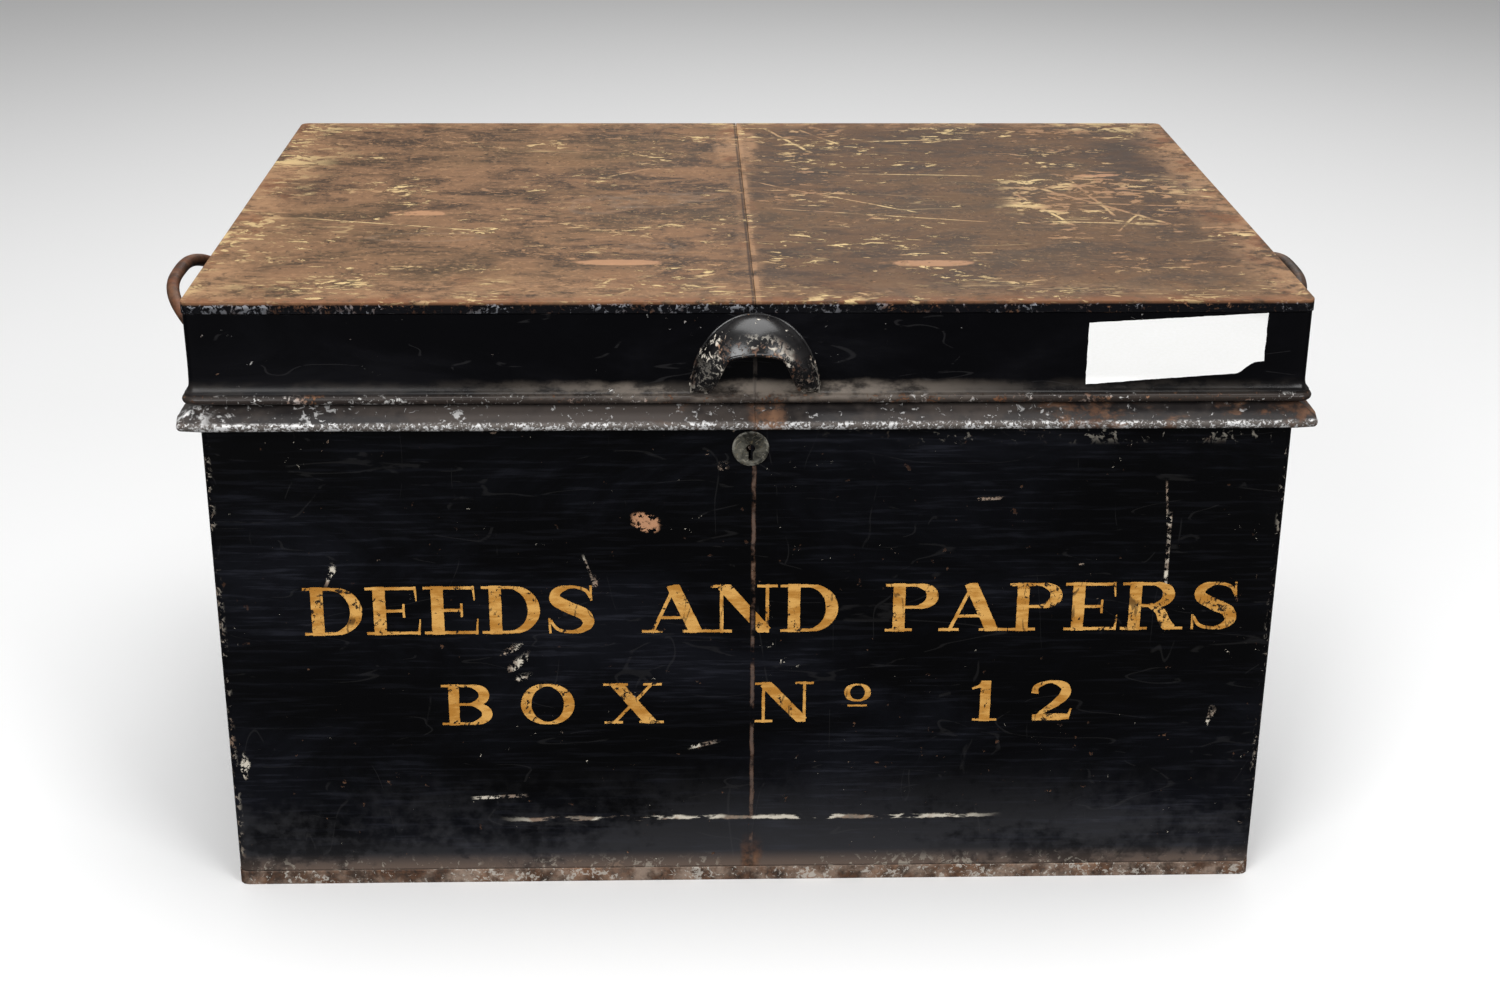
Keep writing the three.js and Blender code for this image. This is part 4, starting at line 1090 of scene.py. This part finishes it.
def fade(value, start, end):
    part = min(1, max(0, (value - start) / (end - start)))
    return part * part * (3 - 2 * part)


dents = {"deep": 0.9 * mm, "shallow": 0.22 * mm}


def wallDent(point):
    # how far the thin body sheet stands off its flat, fading out at every stiff edge
    slow = ripple(point.x * 7, point.y * 7, point.z * 9 + 3)
    quick = ripple(point.x * 26, point.y * 26, point.z * 30 + 9)
    free = fade(point.z, 0.012, 0.06) * fade(point.z, 0.245, 0.19)
    free *= 1 - fade(abs(point.x), 0.26, 0.296) * fade(abs(point.y), 0.17, 0.205)
    free *= fade(abs(point.x - seamX), 0.003, 0.03) if abs(point.y) > 0.2 else 1
    return (dents["deep"] * slow + dents["shallow"] * quick) * free


bodySheet = {"joggle": 0.65 * mm, "roll": 1.7 * mm, "corner": 5 * mm}


def makeBodySheets():
    low, high = wallLow, wallHigh
    thick = sheetMade["thick"]
    fold = panHigh.z
    joggle, roll = bodySheet["joggle"], bodySheet["roll"]
    line = [(-joggle - thick / 2, low.z), (-joggle - thick / 2, fold + 0.3 * mm)]
    line += straight((-thick / 2, fold + 1.0 * mm), (-thick / 2, high.z - roll - thick / 2),
                     sheetMade["step"])
    line += arcPoints(-thick / 2 - roll, high.z - roll - thick / 2, roll, 0, 225, 12)
    section = bentSheet(line, thick)

    def shift(point, outward, out):
        return outward * wallDent(point)

    for side, name in ((-1, "left"), (1, "right")):
        start = seamX + side * sheetMade["seamGap"]
        route = roundedRoute(halfCorners(side, high.x, high.y, start), bodySheet["corner"],
                             sheetMade["step"])
        points, faces = sweep(section, route, shift)
        piece = newPiece("bodySheet_" + name, points, faces, bodyJapan, "box",
                         ["body_shell_" + name])
        carve(piece, *keyholeTools(low.y - 2 * mm, low.y + 4 * mm))


seamFold = {"half": 1.9 * mm, "proud": 0.32 * mm, "start": 1.2 * mm, "top": 0.2885, "wobble": 0.25 * mm,
            "rows": 60}


def makeSeamFolds():
    # the sheets are locked together by a flat fold that stands just proud
    for side, name in ((-1, "front"), (1, "back")):
        half, proud, rows = (seamFold[key] for key in ("half", "proud", "rows"))
        low = panHigh.z + seamFold["start"]
        points = []
        for k in range(rows + 1):
            z = low + (seamFold["top"] - low) * k / rows
            for off, out in ((-half, 0.02 * mm), (-half * 0.8, proud * 0.8), (-half * 0.2, proud),
                             (half * 0.6, proud * 0.9), (half, 0.02 * mm), (0, -0.1 * mm)):
                wobble = seamFold["wobble"] * ripple(z * 60, side, off * 900)
                points.append((seamX + off + wobble, side * (wallHigh.y + out), z))
        newPiece("seamFold_" + name, points, ringFaces(rows + 1, 6), bodyJapan, "box")


def lidDent(point):
    slow = ripple(point.x * 8 + 5, point.y * 8, point.z * 14)
    quick = ripple(point.x * 40, point.y * 40, point.z * 40)
    free = fade(point.z, rimLow.z + 0.010, rimLow.z + 0.023)
    free *= fade(point.z, topLow.z - 0.002, topLow.z - 0.014)
    if abs(abs(point.x) - 0.19) < 0.03 and point.y > 0:
        return 0
    return (0.45 * mm * slow + 0.12 * mm * quick) * free


lidRim = {"roll": 1.95 * mm, "wireOut": 1.75 * mm, "cove": 8 * mm, "corner": 4 * mm, "step": 5 * mm,
          "knock": 0.1 * mm}


def makeLidRims():
    halfX, halfY = wallHigh.x + lidOver, wallHigh.y + lidOver
    thick = sheetMade["thick"]
    roll, wireOut, cove = lidRim["roll"], lidRim["wireOut"], lidRim["cove"]
    wireZ = rimLow.z + roll + thick / 2
    coveTop = wireZ + roll + thick / 2 + cove
    flange = topLow.z - 0.3 * mm
    line = [(-1.8 * thick / 2, rimHigh.z), (-1.8 * thick / 2, flange)]
    line += straight((-thick / 2, flange - 0.5 * mm), (-thick / 2, coveTop), lidRim["step"])
    for k in range(9):
        t = k / 8
        a, b = Vector((-thick / 2, coveTop)), Vector((-thick / 2, coveTop - 5.2 * mm))
        c = Vector((wireOut + 0.2 * roll, coveTop - cove + thick))
        point = a * (1 - t) ** 2 + b * 2 * t * (1 - t) + c * t ** 2
        line.append(tuple(point))
    line += arcPoints(wireOut, wireZ, roll, 70, -235, 18)
    section = bentSheet(line, thick)

    def shift(point, outward, out):
        knock = lidRim["knock"] * ripple(point.x * 120, point.y * 120, 4)
        return outward * (lidDent(point) + knock * fade(point.z, coveTop, coveTop - cove))

    low, high = boxOf("hinge_lid_leaf_left")
    hingeHalf = (high.x - low.x) / 2 + 1 * mm
    hingeMiddle = abs(low.x + high.x) / 2
    for side, name in ((-1, "left"), (1, "right")):
        corners = halfCorners(side, halfX, halfY, seamX + side * sheetMade["seamGap"])
        route = roundedRoute(corners, lidRim["corner"], lidRim["step"])
        points, faces = sweep(section, route, shift)
        piece = newPiece("lidRim_" + name, points, faces, lidJapan, "lid",
                         ["lid_rim_" + name])
        # room for the hinge in the rolled edge
        middle = side * hingeMiddle
        carve(piece, cutter((middle - hingeHalf, halfY - 5 * mm, rimLow.z - 4 * mm),
                            (middle + hingeHalf, halfY + 9 * mm, coveTop + 0.3 * mm)))


def gridded(name, steps):
    # a finer copy of a node's own mesh, cut by evenly spaced planes
    low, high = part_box(name)
    shape = bmesh.new()
    shape.from_mesh(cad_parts[name].data)
    bmesh.ops.remove_doubles(shape, verts=shape.verts, dist=1e-6)
    bmesh.ops.dissolve_limit(shape, angle_limit=0.01, verts=shape.verts, edges=shape.edges)
    for axis, step in enumerate(steps):
        count = max(1, round((high[axis] - low[axis]) / step))
        for i in range(1, count):
            at, facing = low.copy(), Vector((0, 0, 0))
            at[axis] += (high[axis] - low[axis]) * i / count
            facing[axis] = 1
            parts = shape.verts[:] + shape.edges[:] + shape.faces[:]
            bmesh.ops.bisect_plane(shape, geom=parts, plane_co=at, plane_no=facing)
    return shape


def fromShape(name, shape, paint, body, stands):
    points = [v.co.copy() for v in shape.verts]
    shape.verts.index_update()
    faces = [tuple(v.index for v in face.verts) for face in shape.faces]
    shape.free()
    return newPiece(name, points, faces, paint, body, stands)


def soften(piece, width, segments=3, keen=40):
    bevel = piece.modifiers.new("soft edge", "BEVEL")
    bevel.width = width
    bevel.segments = segments
    bevel.limit_method = "ANGLE"
    bevel.angle_limit = math.radians(keen)


lidTop = {"grid": 9 * mm, "wave": 0.55 * mm, "sag": 0.45 * mm, "edge": 0.55 * mm}


def makeLidTops():
    for name in ("left", "right"):
        shape = gridded("lid_top_" + name, (lidTop["grid"], lidTop["grid"], 20 * mm))
        for v in shape.verts:
            p = v.co
            inside = min(topHigh.x - abs(p.x), topHigh.y - abs(p.y))
            free = fade(inside, 0.004, 0.05) * fade(abs(p.x - seamX), 0.004, 0.03)
            wave = ripple(p.x * 6, p.y * 6, 2) + 0.3 * ripple(p.x * 19, p.y * 19, 8)
            if p.z > topHigh.z - 1.1 * mm:
                v.co.z += (lidTop["wave"] * wave - lidTop["sag"]) * free
            elif p.z < topLow.z + 0.1 * mm:
                v.co.z += 0.12 * mm * ripple(p.x * 70, p.y * 70, 5)
        piece = fromShape("lidTop_" + name, shape, wornTop, "lid", ["lid_top_" + name])
        soften(piece, lidTop["edge"])


footRim = {"grid": 12 * mm, "dent": 0.3 * mm, "edge": 0.25 * mm}


def makeFootRim():
    shape = gridded("base_pan", (footRim["grid"], footRim["grid"], 20 * mm))
    for v in shape.verts:
        p = v.co
        if p.z > panHigh.z - 0.1 * mm:
            v.co.z -= footRim["dent"] * abs(ripple(p.x * 45, p.y * 45, 1))
    piece = fromShape("footRim", shape, footIron, "box", ["base_pan"])
    soften(piece, footRim["edge"], 2)


moulding = {"nose": 3.2 * mm, "nick": 0.42 * mm, "sag": 0.25 * mm, "corner": 8 * mm, "mitreGap": 0.22 * mm,
            "step": 3 * mm}


def makeMouldings():
    halfX, halfY = wallHigh.x, wallHigh.y
    thick = sheetMade["thick"]
    out, nose = mouldHigh.x - halfX, moulding["nose"]
    noseX, noseZ = out - nose, mouldLow.z + nose
    start = (0.3 * mm + thick / 2, mouldHigh.z - thick / 2)
    bend = arcPoints(noseX, noseZ, nose - thick / 2, 62, -90, 12)
    line = straight(start, bend[0], 2 * mm) + bend + [(start[0], bend[-1][1])]
    section = bentSheet(line, thick)

    def shift(point, outward, away):
        part = fade(away, 5 * mm, 11 * mm)
        fine = ripple(point.x * 190, point.y * 190, point.z * 260)
        slow = ripple(point.x * 11, point.y * 11, 6)
        nick = moulding["nick"] * max(0, fine - 0.12)
        sag = Vector((0, 0, moulding["sag"] * slow * part))
        # the corners of the nose are rounded off
        trim = Vector((0, 0, 0))
        overX = abs(point.x) - (mouldHigh.x - moulding["corner"])
        overY = abs(point.y) - (mouldHigh.y - moulding["corner"])
        if overX > 0 and overY > 0:
            pull = 1 - max(overX, overY) / math.hypot(overX, overY)
            trim = Vector((-math.copysign(overX * pull, point.x), -math.copysign(overY * pull, point.y), 0))
        return outward * part * (-nick - 0.2 * mm * abs(slow)) - sag + trim

    gap = moulding["mitreGap"]
    left, right = seamX - sheetMade["seamGap"], seamX + sheetMade["seamGap"]
    runs = [
        ("front_left", (left, -halfY), (gap - halfX, -halfY), (False, True)),
        ("front_right", (halfX - gap, -halfY), (right, -halfY), (True, False)),
        ("left_end", (-halfX, gap - halfY), (-halfX, halfY - gap), (True, True)),
        ("right_end", (halfX, halfY - gap), (halfX, gap - halfY), (True, True)),
        ("back", (gap - halfX, halfY), (halfX - gap, halfY), (True, True)),
    ]
    for name, first, last, mitre in runs:
        route = straight(first, last, moulding["step"]) + [last]
        points, faces = sweep(section, route, shift, mitre)
        piece = newPiece("moulding_" + name + "_worn", points, faces, wornMoulding, "box",
                         ["moulding_" + name], keen=50)
        if name == "back":
            # notches where the hinges pass
            tools = []
            for leaf in ("hinge_body_leaf_left", "hinge_body_leaf_right"):
                low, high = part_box(leaf)
                tools.append(cutter((low.x - 0.5 * mm, halfY - mm, mouldLow.z - mm),
                                    (high.x + 0.5 * mm, high.y + 0.5 * mm, mouldHigh.z + mm)))
            carve(piece, *tools)


hood = {"across": 35.5 * mm, "out": 26.6 * mm, "tall": 46.9 * mm, "sheet": 1.0 * mm, "slope": 56}


def tubeOf(points, radii, sides=16):
    points = [Vector(p) for p in points]
    rings, across = [], None
    for k, point in enumerate(points):
        ahead = (points[min(k + 1, len(points) - 1)] - points[max(k - 1, 0)]).normalized()
        across = across - ahead * across.dot(ahead) if across else ahead.orthogonal()
        across.normalize()
        other = ahead.cross(across)
        for i in range(sides):
            turn = 2 * math.pi * i / sides
            rings.append(point + (across * math.cos(turn) + other * math.sin(turn)) * radii[k])
    return rings, ringFaces(len(points), sides)


def makeHood():
    centre = Vector((seamX, wallLow.y - lidOver, topLow.z - 0.3 * mm - hood["tall"]))
    mouth = math.atan(math.tan(math.radians(hood["slope"])) * hood["out"] / hood["tall"])

    def onEgg(turn, lean, inset):
        a, b, c = (hood[key] - inset for key in ("across", "out", "tall"))
        swell = 0.35 * mm * ripple(turn * 1.6, lean * 1.6, 4)
        return centre + Vector((a * math.cos(turn), -(b + swell) * math.sin(turn) * math.cos(lean),
                                (c + swell) * math.sin(turn) * math.sin(lean)))

    leans = [mouth + (math.pi / 2 - mouth) * i / 22 for i in range(23)]
    turns = [math.radians(2 + 176 * i / 64) for i in range(65)]
    points = []
    for turn in turns:
        points += [onEgg(turn, lean, 0) for lean in leans]
        points += [onEgg(turn, lean, hood["sheet"]) for lean in reversed(leans)]
    faces = ringFaces(len(turns), 2 * len(leans))
    newPiece("fingerHood", points, faces, hoodJapan, "lid", ["finger_hood"])

    # below the mouth the cheeks turn back in to the wall and leave an arch
    def onCheek(turn, part, inset):
        edge = onEgg(turn, mouth, inset)
        a, b, c = (hood[key] - inset for key in ("across", "out", "tall"))
        foot = centre + Vector((a * math.cos(turn) * 0.95, -2.0 * mm + inset, 2.5 * mm))
        pull = edge + Vector((0, -b * math.sin(turn) * 0.10, -c * math.sin(turn) * 0.30))
        return edge * (1 - part) ** 2 + pull * 2 * part * (1 - part) + foot * part ** 2

    def cheekReach(turn):
        return fade(abs(math.cos(turn)), 0.40, 0.82)

    for side, name in ((1, "right"), (-1, "left")):
        half = [turn for turn in turns if side * math.cos(turn) > 0.40]
        steps = 9
        points = []
        for turn in half:
            parts = [max(0.02, cheekReach(turn)) * i / steps for i in range(steps + 1)]
            points += [onCheek(turn, part, 0.0) for part in parts]
            points += [onCheek(turn, part, hood["sheet"]) for part in reversed(parts)]
        faces = ringFaces(len(half), 2 * (steps + 1))
        newPiece("hoodCheek_" + name, points, faces, hoodJapan, "lid")
    # the mouth is rolled over, and solder closes the joint with the lid
    line = [onCheek(turn, cheekReach(turn), 0.4 * mm) for turn in turns if abs(math.cos(turn)) < 0.84]
    points, faces = tubeOf(line, [1.0 * mm] * len(line), 12)
    newPiece("hoodMouthRoll", points, faces, hoodJapan, "lid")
    line = [onEgg(turn, math.pi / 2 - 0.012, 0.1 * mm) for turn in turns[2:-2]]
    radii = [(0.75 + 0.3 * ripple(p.x * 160, p.z * 160, 1)) * mm for p in line]
    points, faces = tubeOf(line, radii, 8)
    newPiece("hoodSolder", points, faces, hoodJapan, "lid")


bail = {"half": 67.4 * mm, "reach": 68.5 * mm, "square": 2.8, "rod": 4 * mm, "pin": 2.75 * mm, "tilt": 47,
        "pinIn": 49.1 * mm, "pivotOut": 5.45 * mm}


def makeBails():
    for side, name, paint in ((-1, "left", leftBailIron), (1, "right", rightBailIron)):
        bracket = "handle_bracket_" + name
        low, high = boxOf(bracket + "_front", bracket + "_rear")
        middleY = (low.y + high.y) / 2
        pivot = Vector((side * (wallHigh.x + bail["pivotOut"]), middleY, (low.z + high.z) / 2))
        tilt = math.radians(bail["tilt"])
        away = Vector((side * math.sin(tilt), 0, math.cos(tilt)))
        line, radii = [], []
        for i in range(97):
            turn = math.pi * i / 96
            across = math.copysign(abs(math.cos(turn)) ** (2 / bail["square"]), math.cos(turn))
            out = abs(math.sin(turn)) ** (2 / bail["square"])
            line.append(pivot + Vector((0, across * bail["half"], 0)) + away * out * bail["reach"])
            radii.append(bail["rod"] + 0.1 * mm * noise.noise(line[-1] * 60) - 0.05 * mm)
        endTurns = [(0.8, 0.0), (2.0, -0.25), (2.8, -0.9), (3.0, -2.2)]
        for drop, thin in endTurns:
            for at, where in ((0, 0), (len(line), -1)):
                base = pivot + Vector((0, bail["half"] if where == 0 else -bail["half"], 0))
                line.insert(at, base - away * drop * mm)
                radii.insert(at, bail["rod"] + thin * mm)
        points, faces = tubeOf(line, radii, 20)
        for end in (-1, 1):
            stops = (0, 0.4, 1.2, 6, 12, 17)
            pinLine = [pivot + Vector((0, end * (bail["pinIn"] + d * mm), 0)) for d in stops]
            pinRadii = [bail["pin"] - d * mm for d in (0.8, 0.25, 0, 0, 0, 0)]
            more, moreFaces = tubeOf(pinLine, pinRadii, 20)
            faces += [tuple(i + len(points) for i in face) for face in moreFaces]
            points += more
        newPiece("bail_" + name, points, faces, paint, name + "_handle",
                 ["handle_bail_" + name])


def makeKeyholeDisc():
    middle = (discLow + discHigh) / 2
    radius, thick = (discHigh.x - discLow.x) / 2, discHigh.y - discLow.y
    profile = [(0, 0.28), (0.5, 0.30), (0.74, 0.42), (0.80, 0.16), (0.86, 0.04), (0.95, 0.0), (0.995, 0.22),
               (1.0, 1.0)]
    points, sides = [], 72
    for share, sunk in profile[1:]:
        for i in range(sides):
            turn = 2 * math.pi * i / sides
            points.append((middle.x + radius * share * math.cos(turn), discLow.y + thick * sunk,
                           middle.z + radius * share * math.sin(turn)))
    faces = ringFaces(len(profile) - 1, sides)
    piece = newPiece("keyholeDisc", points, faces, oldBrass, "box", ["escutcheon"])
    carve(piece, *keyholeTools(discLow.y - mm, discHigh.y + mm))


label = {"columns": 56, "rows": 20, "lift": 0.1 * mm, "curl": 0.35 * mm, "under": 0.05 * mm}


def makeLabel():
    low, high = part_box("paper_label")
    wide, tall = high.x - low.x, high.z - low.z
    columns, rows = label["columns"], label["rows"]
    points, faces = [], []
    for back in (0, 1):
        for j in range(rows + 1):
            for i in range(columns + 1):
                u, w = i / columns, j / rows
                # the slip is stuck on askew, and its lower right corner is torn away
                bottom = -0.09 + 0.18 * u + 0.16 * fade(u, 0.84, 0.96)
                top = 0.85 + 0.145 * u
                x, z = low.x + wide * (0.005 + 0.99 * u), low.z + tall * (bottom + (top - bottom) * w)
                tear = ripple(x * 220, z * 220, 3) + 0.5 * ripple(x * 500, z * 500, 7)
                z += 0.22 * mm * tear * (abs(w - 0.5) > 0.499)
                x += 0.3 * mm * tear * (abs(u - 0.5) > 0.499)
                flat = Vector((x, wallLow.y - lidOver - 0.9 * mm * fade(z, low.z, low.z - 4 * mm), z))
                lift = label["lift"] + label["lift"] * max(0, ripple(x * 55, z * 55, 1))
                lift += label["curl"] * fade(u + w, 1.86, 1.98)
                points.append(flat - Vector((0, lidDent(flat) + (lift if back == 0 else -label["under"]),
                                             0)))
    layer = (rows + 1) * (columns + 1)
    for j in range(rows):
        for i in range(columns):
            a = j * (columns + 1) + i
            faces.append((a, a + 1, a + columns + 2, a + columns + 1))
            faces.append(tuple(layer + k for k in (a, a + columns + 1, a + columns + 2, a + 1)))
    wide = columns + 1
    edge = list(range(columns)) + [j * wide + columns for j in range(rows)]
    edge += [rows * wide + i for i in range(columns, 0, -1)] + [j * wide for j in range(rows, 0, -1)]
    for a, b in zip(edge, edge[1:] + edge[:1]):
        faces.append((a, b, b + layer, a + layer))
    newPiece("blankLabel", points, faces, blankPaper, "lid", ["paper_label"], keen=60)


# plain bold Roman capitals, each stroke a run of (across, up, width) in cap heights
def bowl(centreX, centreZ, wide, tall, start, end, thin=0.08, thick=0.25, steps=28):
    run = []
    for i in range(steps + 1):
        turn = math.radians(start + (end - start) * i / steps)
        width = thin + (thick - thin) * abs(math.cos(turn)) ** 1.6
        run.append((centreX + wide * math.cos(turn), centreZ + tall * math.sin(turn), width))
    return run


def smoothRun(stops, steps=7):
    run = []
    padded = [stops[0], *stops, stops[-1]]
    for a, b, c, d in zip(padded, padded[1:], padded[2:], padded[3:]):
        for i in range(steps):
            t = i / steps
            run.append(tuple(0.5 * (2 * q + (r - p) * t + (2 * p - 5 * q + 4 * r - s) * t * t
                                    + (3 * q - p - 3 * r + s) * t ** 3) for p, q, r, s in zip(a, b, c, d)))
    return run + [stops[-1]]


def serif(middle, up, half=0.2):
    return [(middle - half, up, 0.075), (middle + half, up, 0.075)]


stem = [[(0.21, 0.0, 0.25), (0.21, 1.0, 0.25)], serif(0.21, 0.037), serif(0.21, 0.963)]
upperBowl = [[(0.2, 0.96, 0.08), (0.44, 0.96, 0.08)], bowl(0.44, 0.735, 0.26, 0.225, 90, -90),
             [(0.2, 0.51, 0.08), (0.44, 0.51, 0.08)]]
letters = {
    "A": (0.98, [[(0.47, 0.99, 0.09), (0.13, 0.0, 0.09)], [(0.43, 1.0, 0.26), (0.78, 0.0, 0.26)],
                 [(0.22, 0.32, 0.08), (0.64, 0.32, 0.08)], serif(0.13, 0.037, 0.15),
                 serif(0.79, 0.037, 0.21)]),
    "B": (0.82, stem + upperBowl + [bowl(0.44, 0.275, 0.3, 0.235, 90, -90),
                                    [(0.2, 0.04, 0.08), (0.44, 0.04, 0.08)]]),
    "D": (0.88, stem + [[(0.2, 0.96, 0.08), (0.42, 0.96, 0.08)], bowl(0.42, 0.5, 0.35, 0.46, 90, -90),
                        [(0.2, 0.04, 0.08), (0.42, 0.04, 0.08)]]),
    "E": (0.82, stem + [[(0.2, 0.96, 0.08), (0.74, 0.96, 0.08)], [(0.73, 1.0, 0.07), (0.75, 0.7, 0.03)],
                        [(0.2, 0.5, 0.08), (0.56, 0.5, 0.08)], [(0.56, 0.64, 0.06), (0.56, 0.36, 0.06)],
                        [(0.2, 0.04, 0.08), (0.78, 0.04, 0.08)], [(0.77, 0.0, 0.07), (0.79, 0.32, 0.03)]]),
    "N": (0.98, [[(0.15, 0.0, 0.09), (0.15, 1.0, 0.09)], [(0.82, 0.0, 0.09), (0.82, 1.0, 0.09)],
                 [(0.17, 0.98, 0.26), (0.8, 0.02, 0.26)], serif(0.15, 0.037, 0.15),
                 serif(0.13, 0.963, 0.14),
                 serif(0.82, 0.963, 0.15)]),
    "O": (0.96, [bowl(0.48, 0.5, 0.35, 0.465, 0, 360, steps=56)]),
    "P": (0.80, stem + upperBowl),
    "R": (0.96, stem + upperBowl + [smoothRun([(0.42, 0.52, 0.1), (0.58, 0.4, 0.2), (0.68, 0.14, 0.24),
                                               (0.78, 0.02, 0.2)]),
                                    serif(0.82, 0.037, 0.12)]),
    "S": (0.80, [smoothRun([(0.7, 0.74, 0.07), (0.62, 0.9, 0.09), (0.42, 0.965, 0.08), (0.22, 0.88, 0.17),
                            (0.19, 0.7, 0.24), (0.38, 0.54, 0.26), (0.6, 0.4, 0.26), (0.66, 0.22, 0.23),
                            (0.56, 0.08, 0.13), (0.38, 0.035, 0.08), (0.2, 0.1, 0.09), (0.11, 0.28, 0.07)]),
                 [(0.7, 0.99, 0.06), (0.71, 0.68, 0.06)], [(0.1, 0.01, 0.06), (0.09, 0.32, 0.06)]]),
    "X": (0.98, [[(0.2, 1.0, 0.27), (0.78, 0.0, 0.27)], [(0.8, 0.99, 0.09), (0.15, 0.0, 0.09)],
                 serif(0.2, 0.963, 0.2), serif(0.8, 0.963, 0.15), serif(0.16, 0.037, 0.15),
                 serif(0.78, 0.037, 0.2)]),
    "o": (0.60, [bowl(0.28, 0.72, 0.17, 0.2, 0, 360, 0.06, 0.14, 40),
                 [(0.12, 0.4, 0.06), (0.44, 0.4, 0.06)]]),
    "1": (0.56, [[(0.3, 0.0, 0.25), (0.3, 1.0, 0.25)],
                 smoothRun([(0.08, 0.8, 0.06), (0.2, 0.87, 0.1), (0.3, 0.97, 0.12)]),
                 serif(0.3, 0.037, 0.2)]),
    "2": (0.78, [smoothRun([(0.12, 0.68, 0.18), (0.16, 0.86, 0.13), (0.38, 0.965, 0.09), (0.6, 0.86, 0.2),
                            (0.62, 0.66, 0.25),
                            (0.48, 0.44, 0.19), (0.24, 0.2, 0.1), (0.12, 0.06, 0.08)]),
                 [(0.1, 0.08, 0.17), (0.5, 0.09, 0.18), (0.7, 0.1, 0.14)],
                 [(0.68, 0.05, 0.1), (0.73, 0.3, 0.05)]]),
}
wording = [
    # words, foot, cap height, from x, to x, how far the letters are widened
    ("DEEDS AND PAPERS", 0.1628, 0.0302, -0.252, 0.281, 1.28),
    ("BOX No 12", 0.1050, 0.0262, -0.177, 0.189, 1.35),
]


gilding = {"proud": 0.09 * mm, "layer": 0.007 * mm, "under": 0.12 * mm, "ragged": 0.22 * mm,
           "step": 1.2 * mm}


def paintLetters():
    points, faces, layer = [], [], 0

    def ribbon(run, startX, foot, tall):
        nonlocal layer
        layer += 1
        fine = []
        for a, b in zip(run, run[1:]):
            count = max(1, round(math.dist(a[:2], b[:2]) * tall / gilding["step"]))
            fine += [tuple(p + (q - p) * i / count for p, q in zip(a, b)) for i in range(count)]
        fine.append(run[-1])
        sides = sideSteps([stop[:2] for stop in fine])
        first, across = len(points), 4
        for (u, w, width), side in zip(fine, sides):
            width *= 0.72 if width < 0.1 else 0.92
            for front in (1, 0):
                for k in range(across + 1):
                    off = (k / across - 0.5) * width * (1 if front else -1)
                    x = startX + (u + side.x * off) * tall
                    z = foot + min(1, max(0, w + side.y * off)) * tall
                    rough = gilding["ragged"] * ripple(x * 330, z * 330, layer * 0.7) * (k in (0, across))
                    flat = Vector((x + side.x * rough, wallLow.y, z + side.y * rough))
                    proud = gilding["proud"] + (layer % 9) * gilding["layer"]
                    if not front:
                        proud = -gilding["under"]
                    points.append(flat - Vector((0, wallDent(flat) + proud, 0)))
        faces.extend(ringFaces(len(fine), 2 * (across + 1), first))

    for words, foot, tall, fromX, toX, widen in wording:
        widths = [(letters[c][0] if c != " " else 0.62) * tall * widen for c in words]
        gap = (toX - fromX - sum(widths)) / (len(words) - 1)
        startX = fromX
        for c, width in zip(words, widths):
            if c != " ":
                for run in letters[c][1]:
                    ribbon([(u * widen, w, width) for u, w, width in run], startX, foot, tall)
            startX += width + gap
    newPiece("giltWording", points, faces, oldGilt, "box", keen=60)


makeBodySheets()
makeSeamFolds()
makeFootRim()
makeMouldings()
print("body sheets, foot rim and mouldings ready")
makeLidTops()
makeLidRims()
makeHood()
makeLabel()
print("lid ready")
makeBails()
makeKeyholeDisc()
paintLetters()
print("bails, keyhole disc and wording ready")

# the fittings keep their own shapes, with softened edges
fittings = {"edge": 0.25 * mm, "wireEdge": 0.05 * mm}
for name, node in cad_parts.items():
    node.data.materials.clear()
    node.data.materials.append(blackIron)
    small = "wire" in name or "spring" in name
    soften(node, fittings["wireEdge"] if small else fittings["edge"], 2 if small else 3, 30)
print("fittings ready")
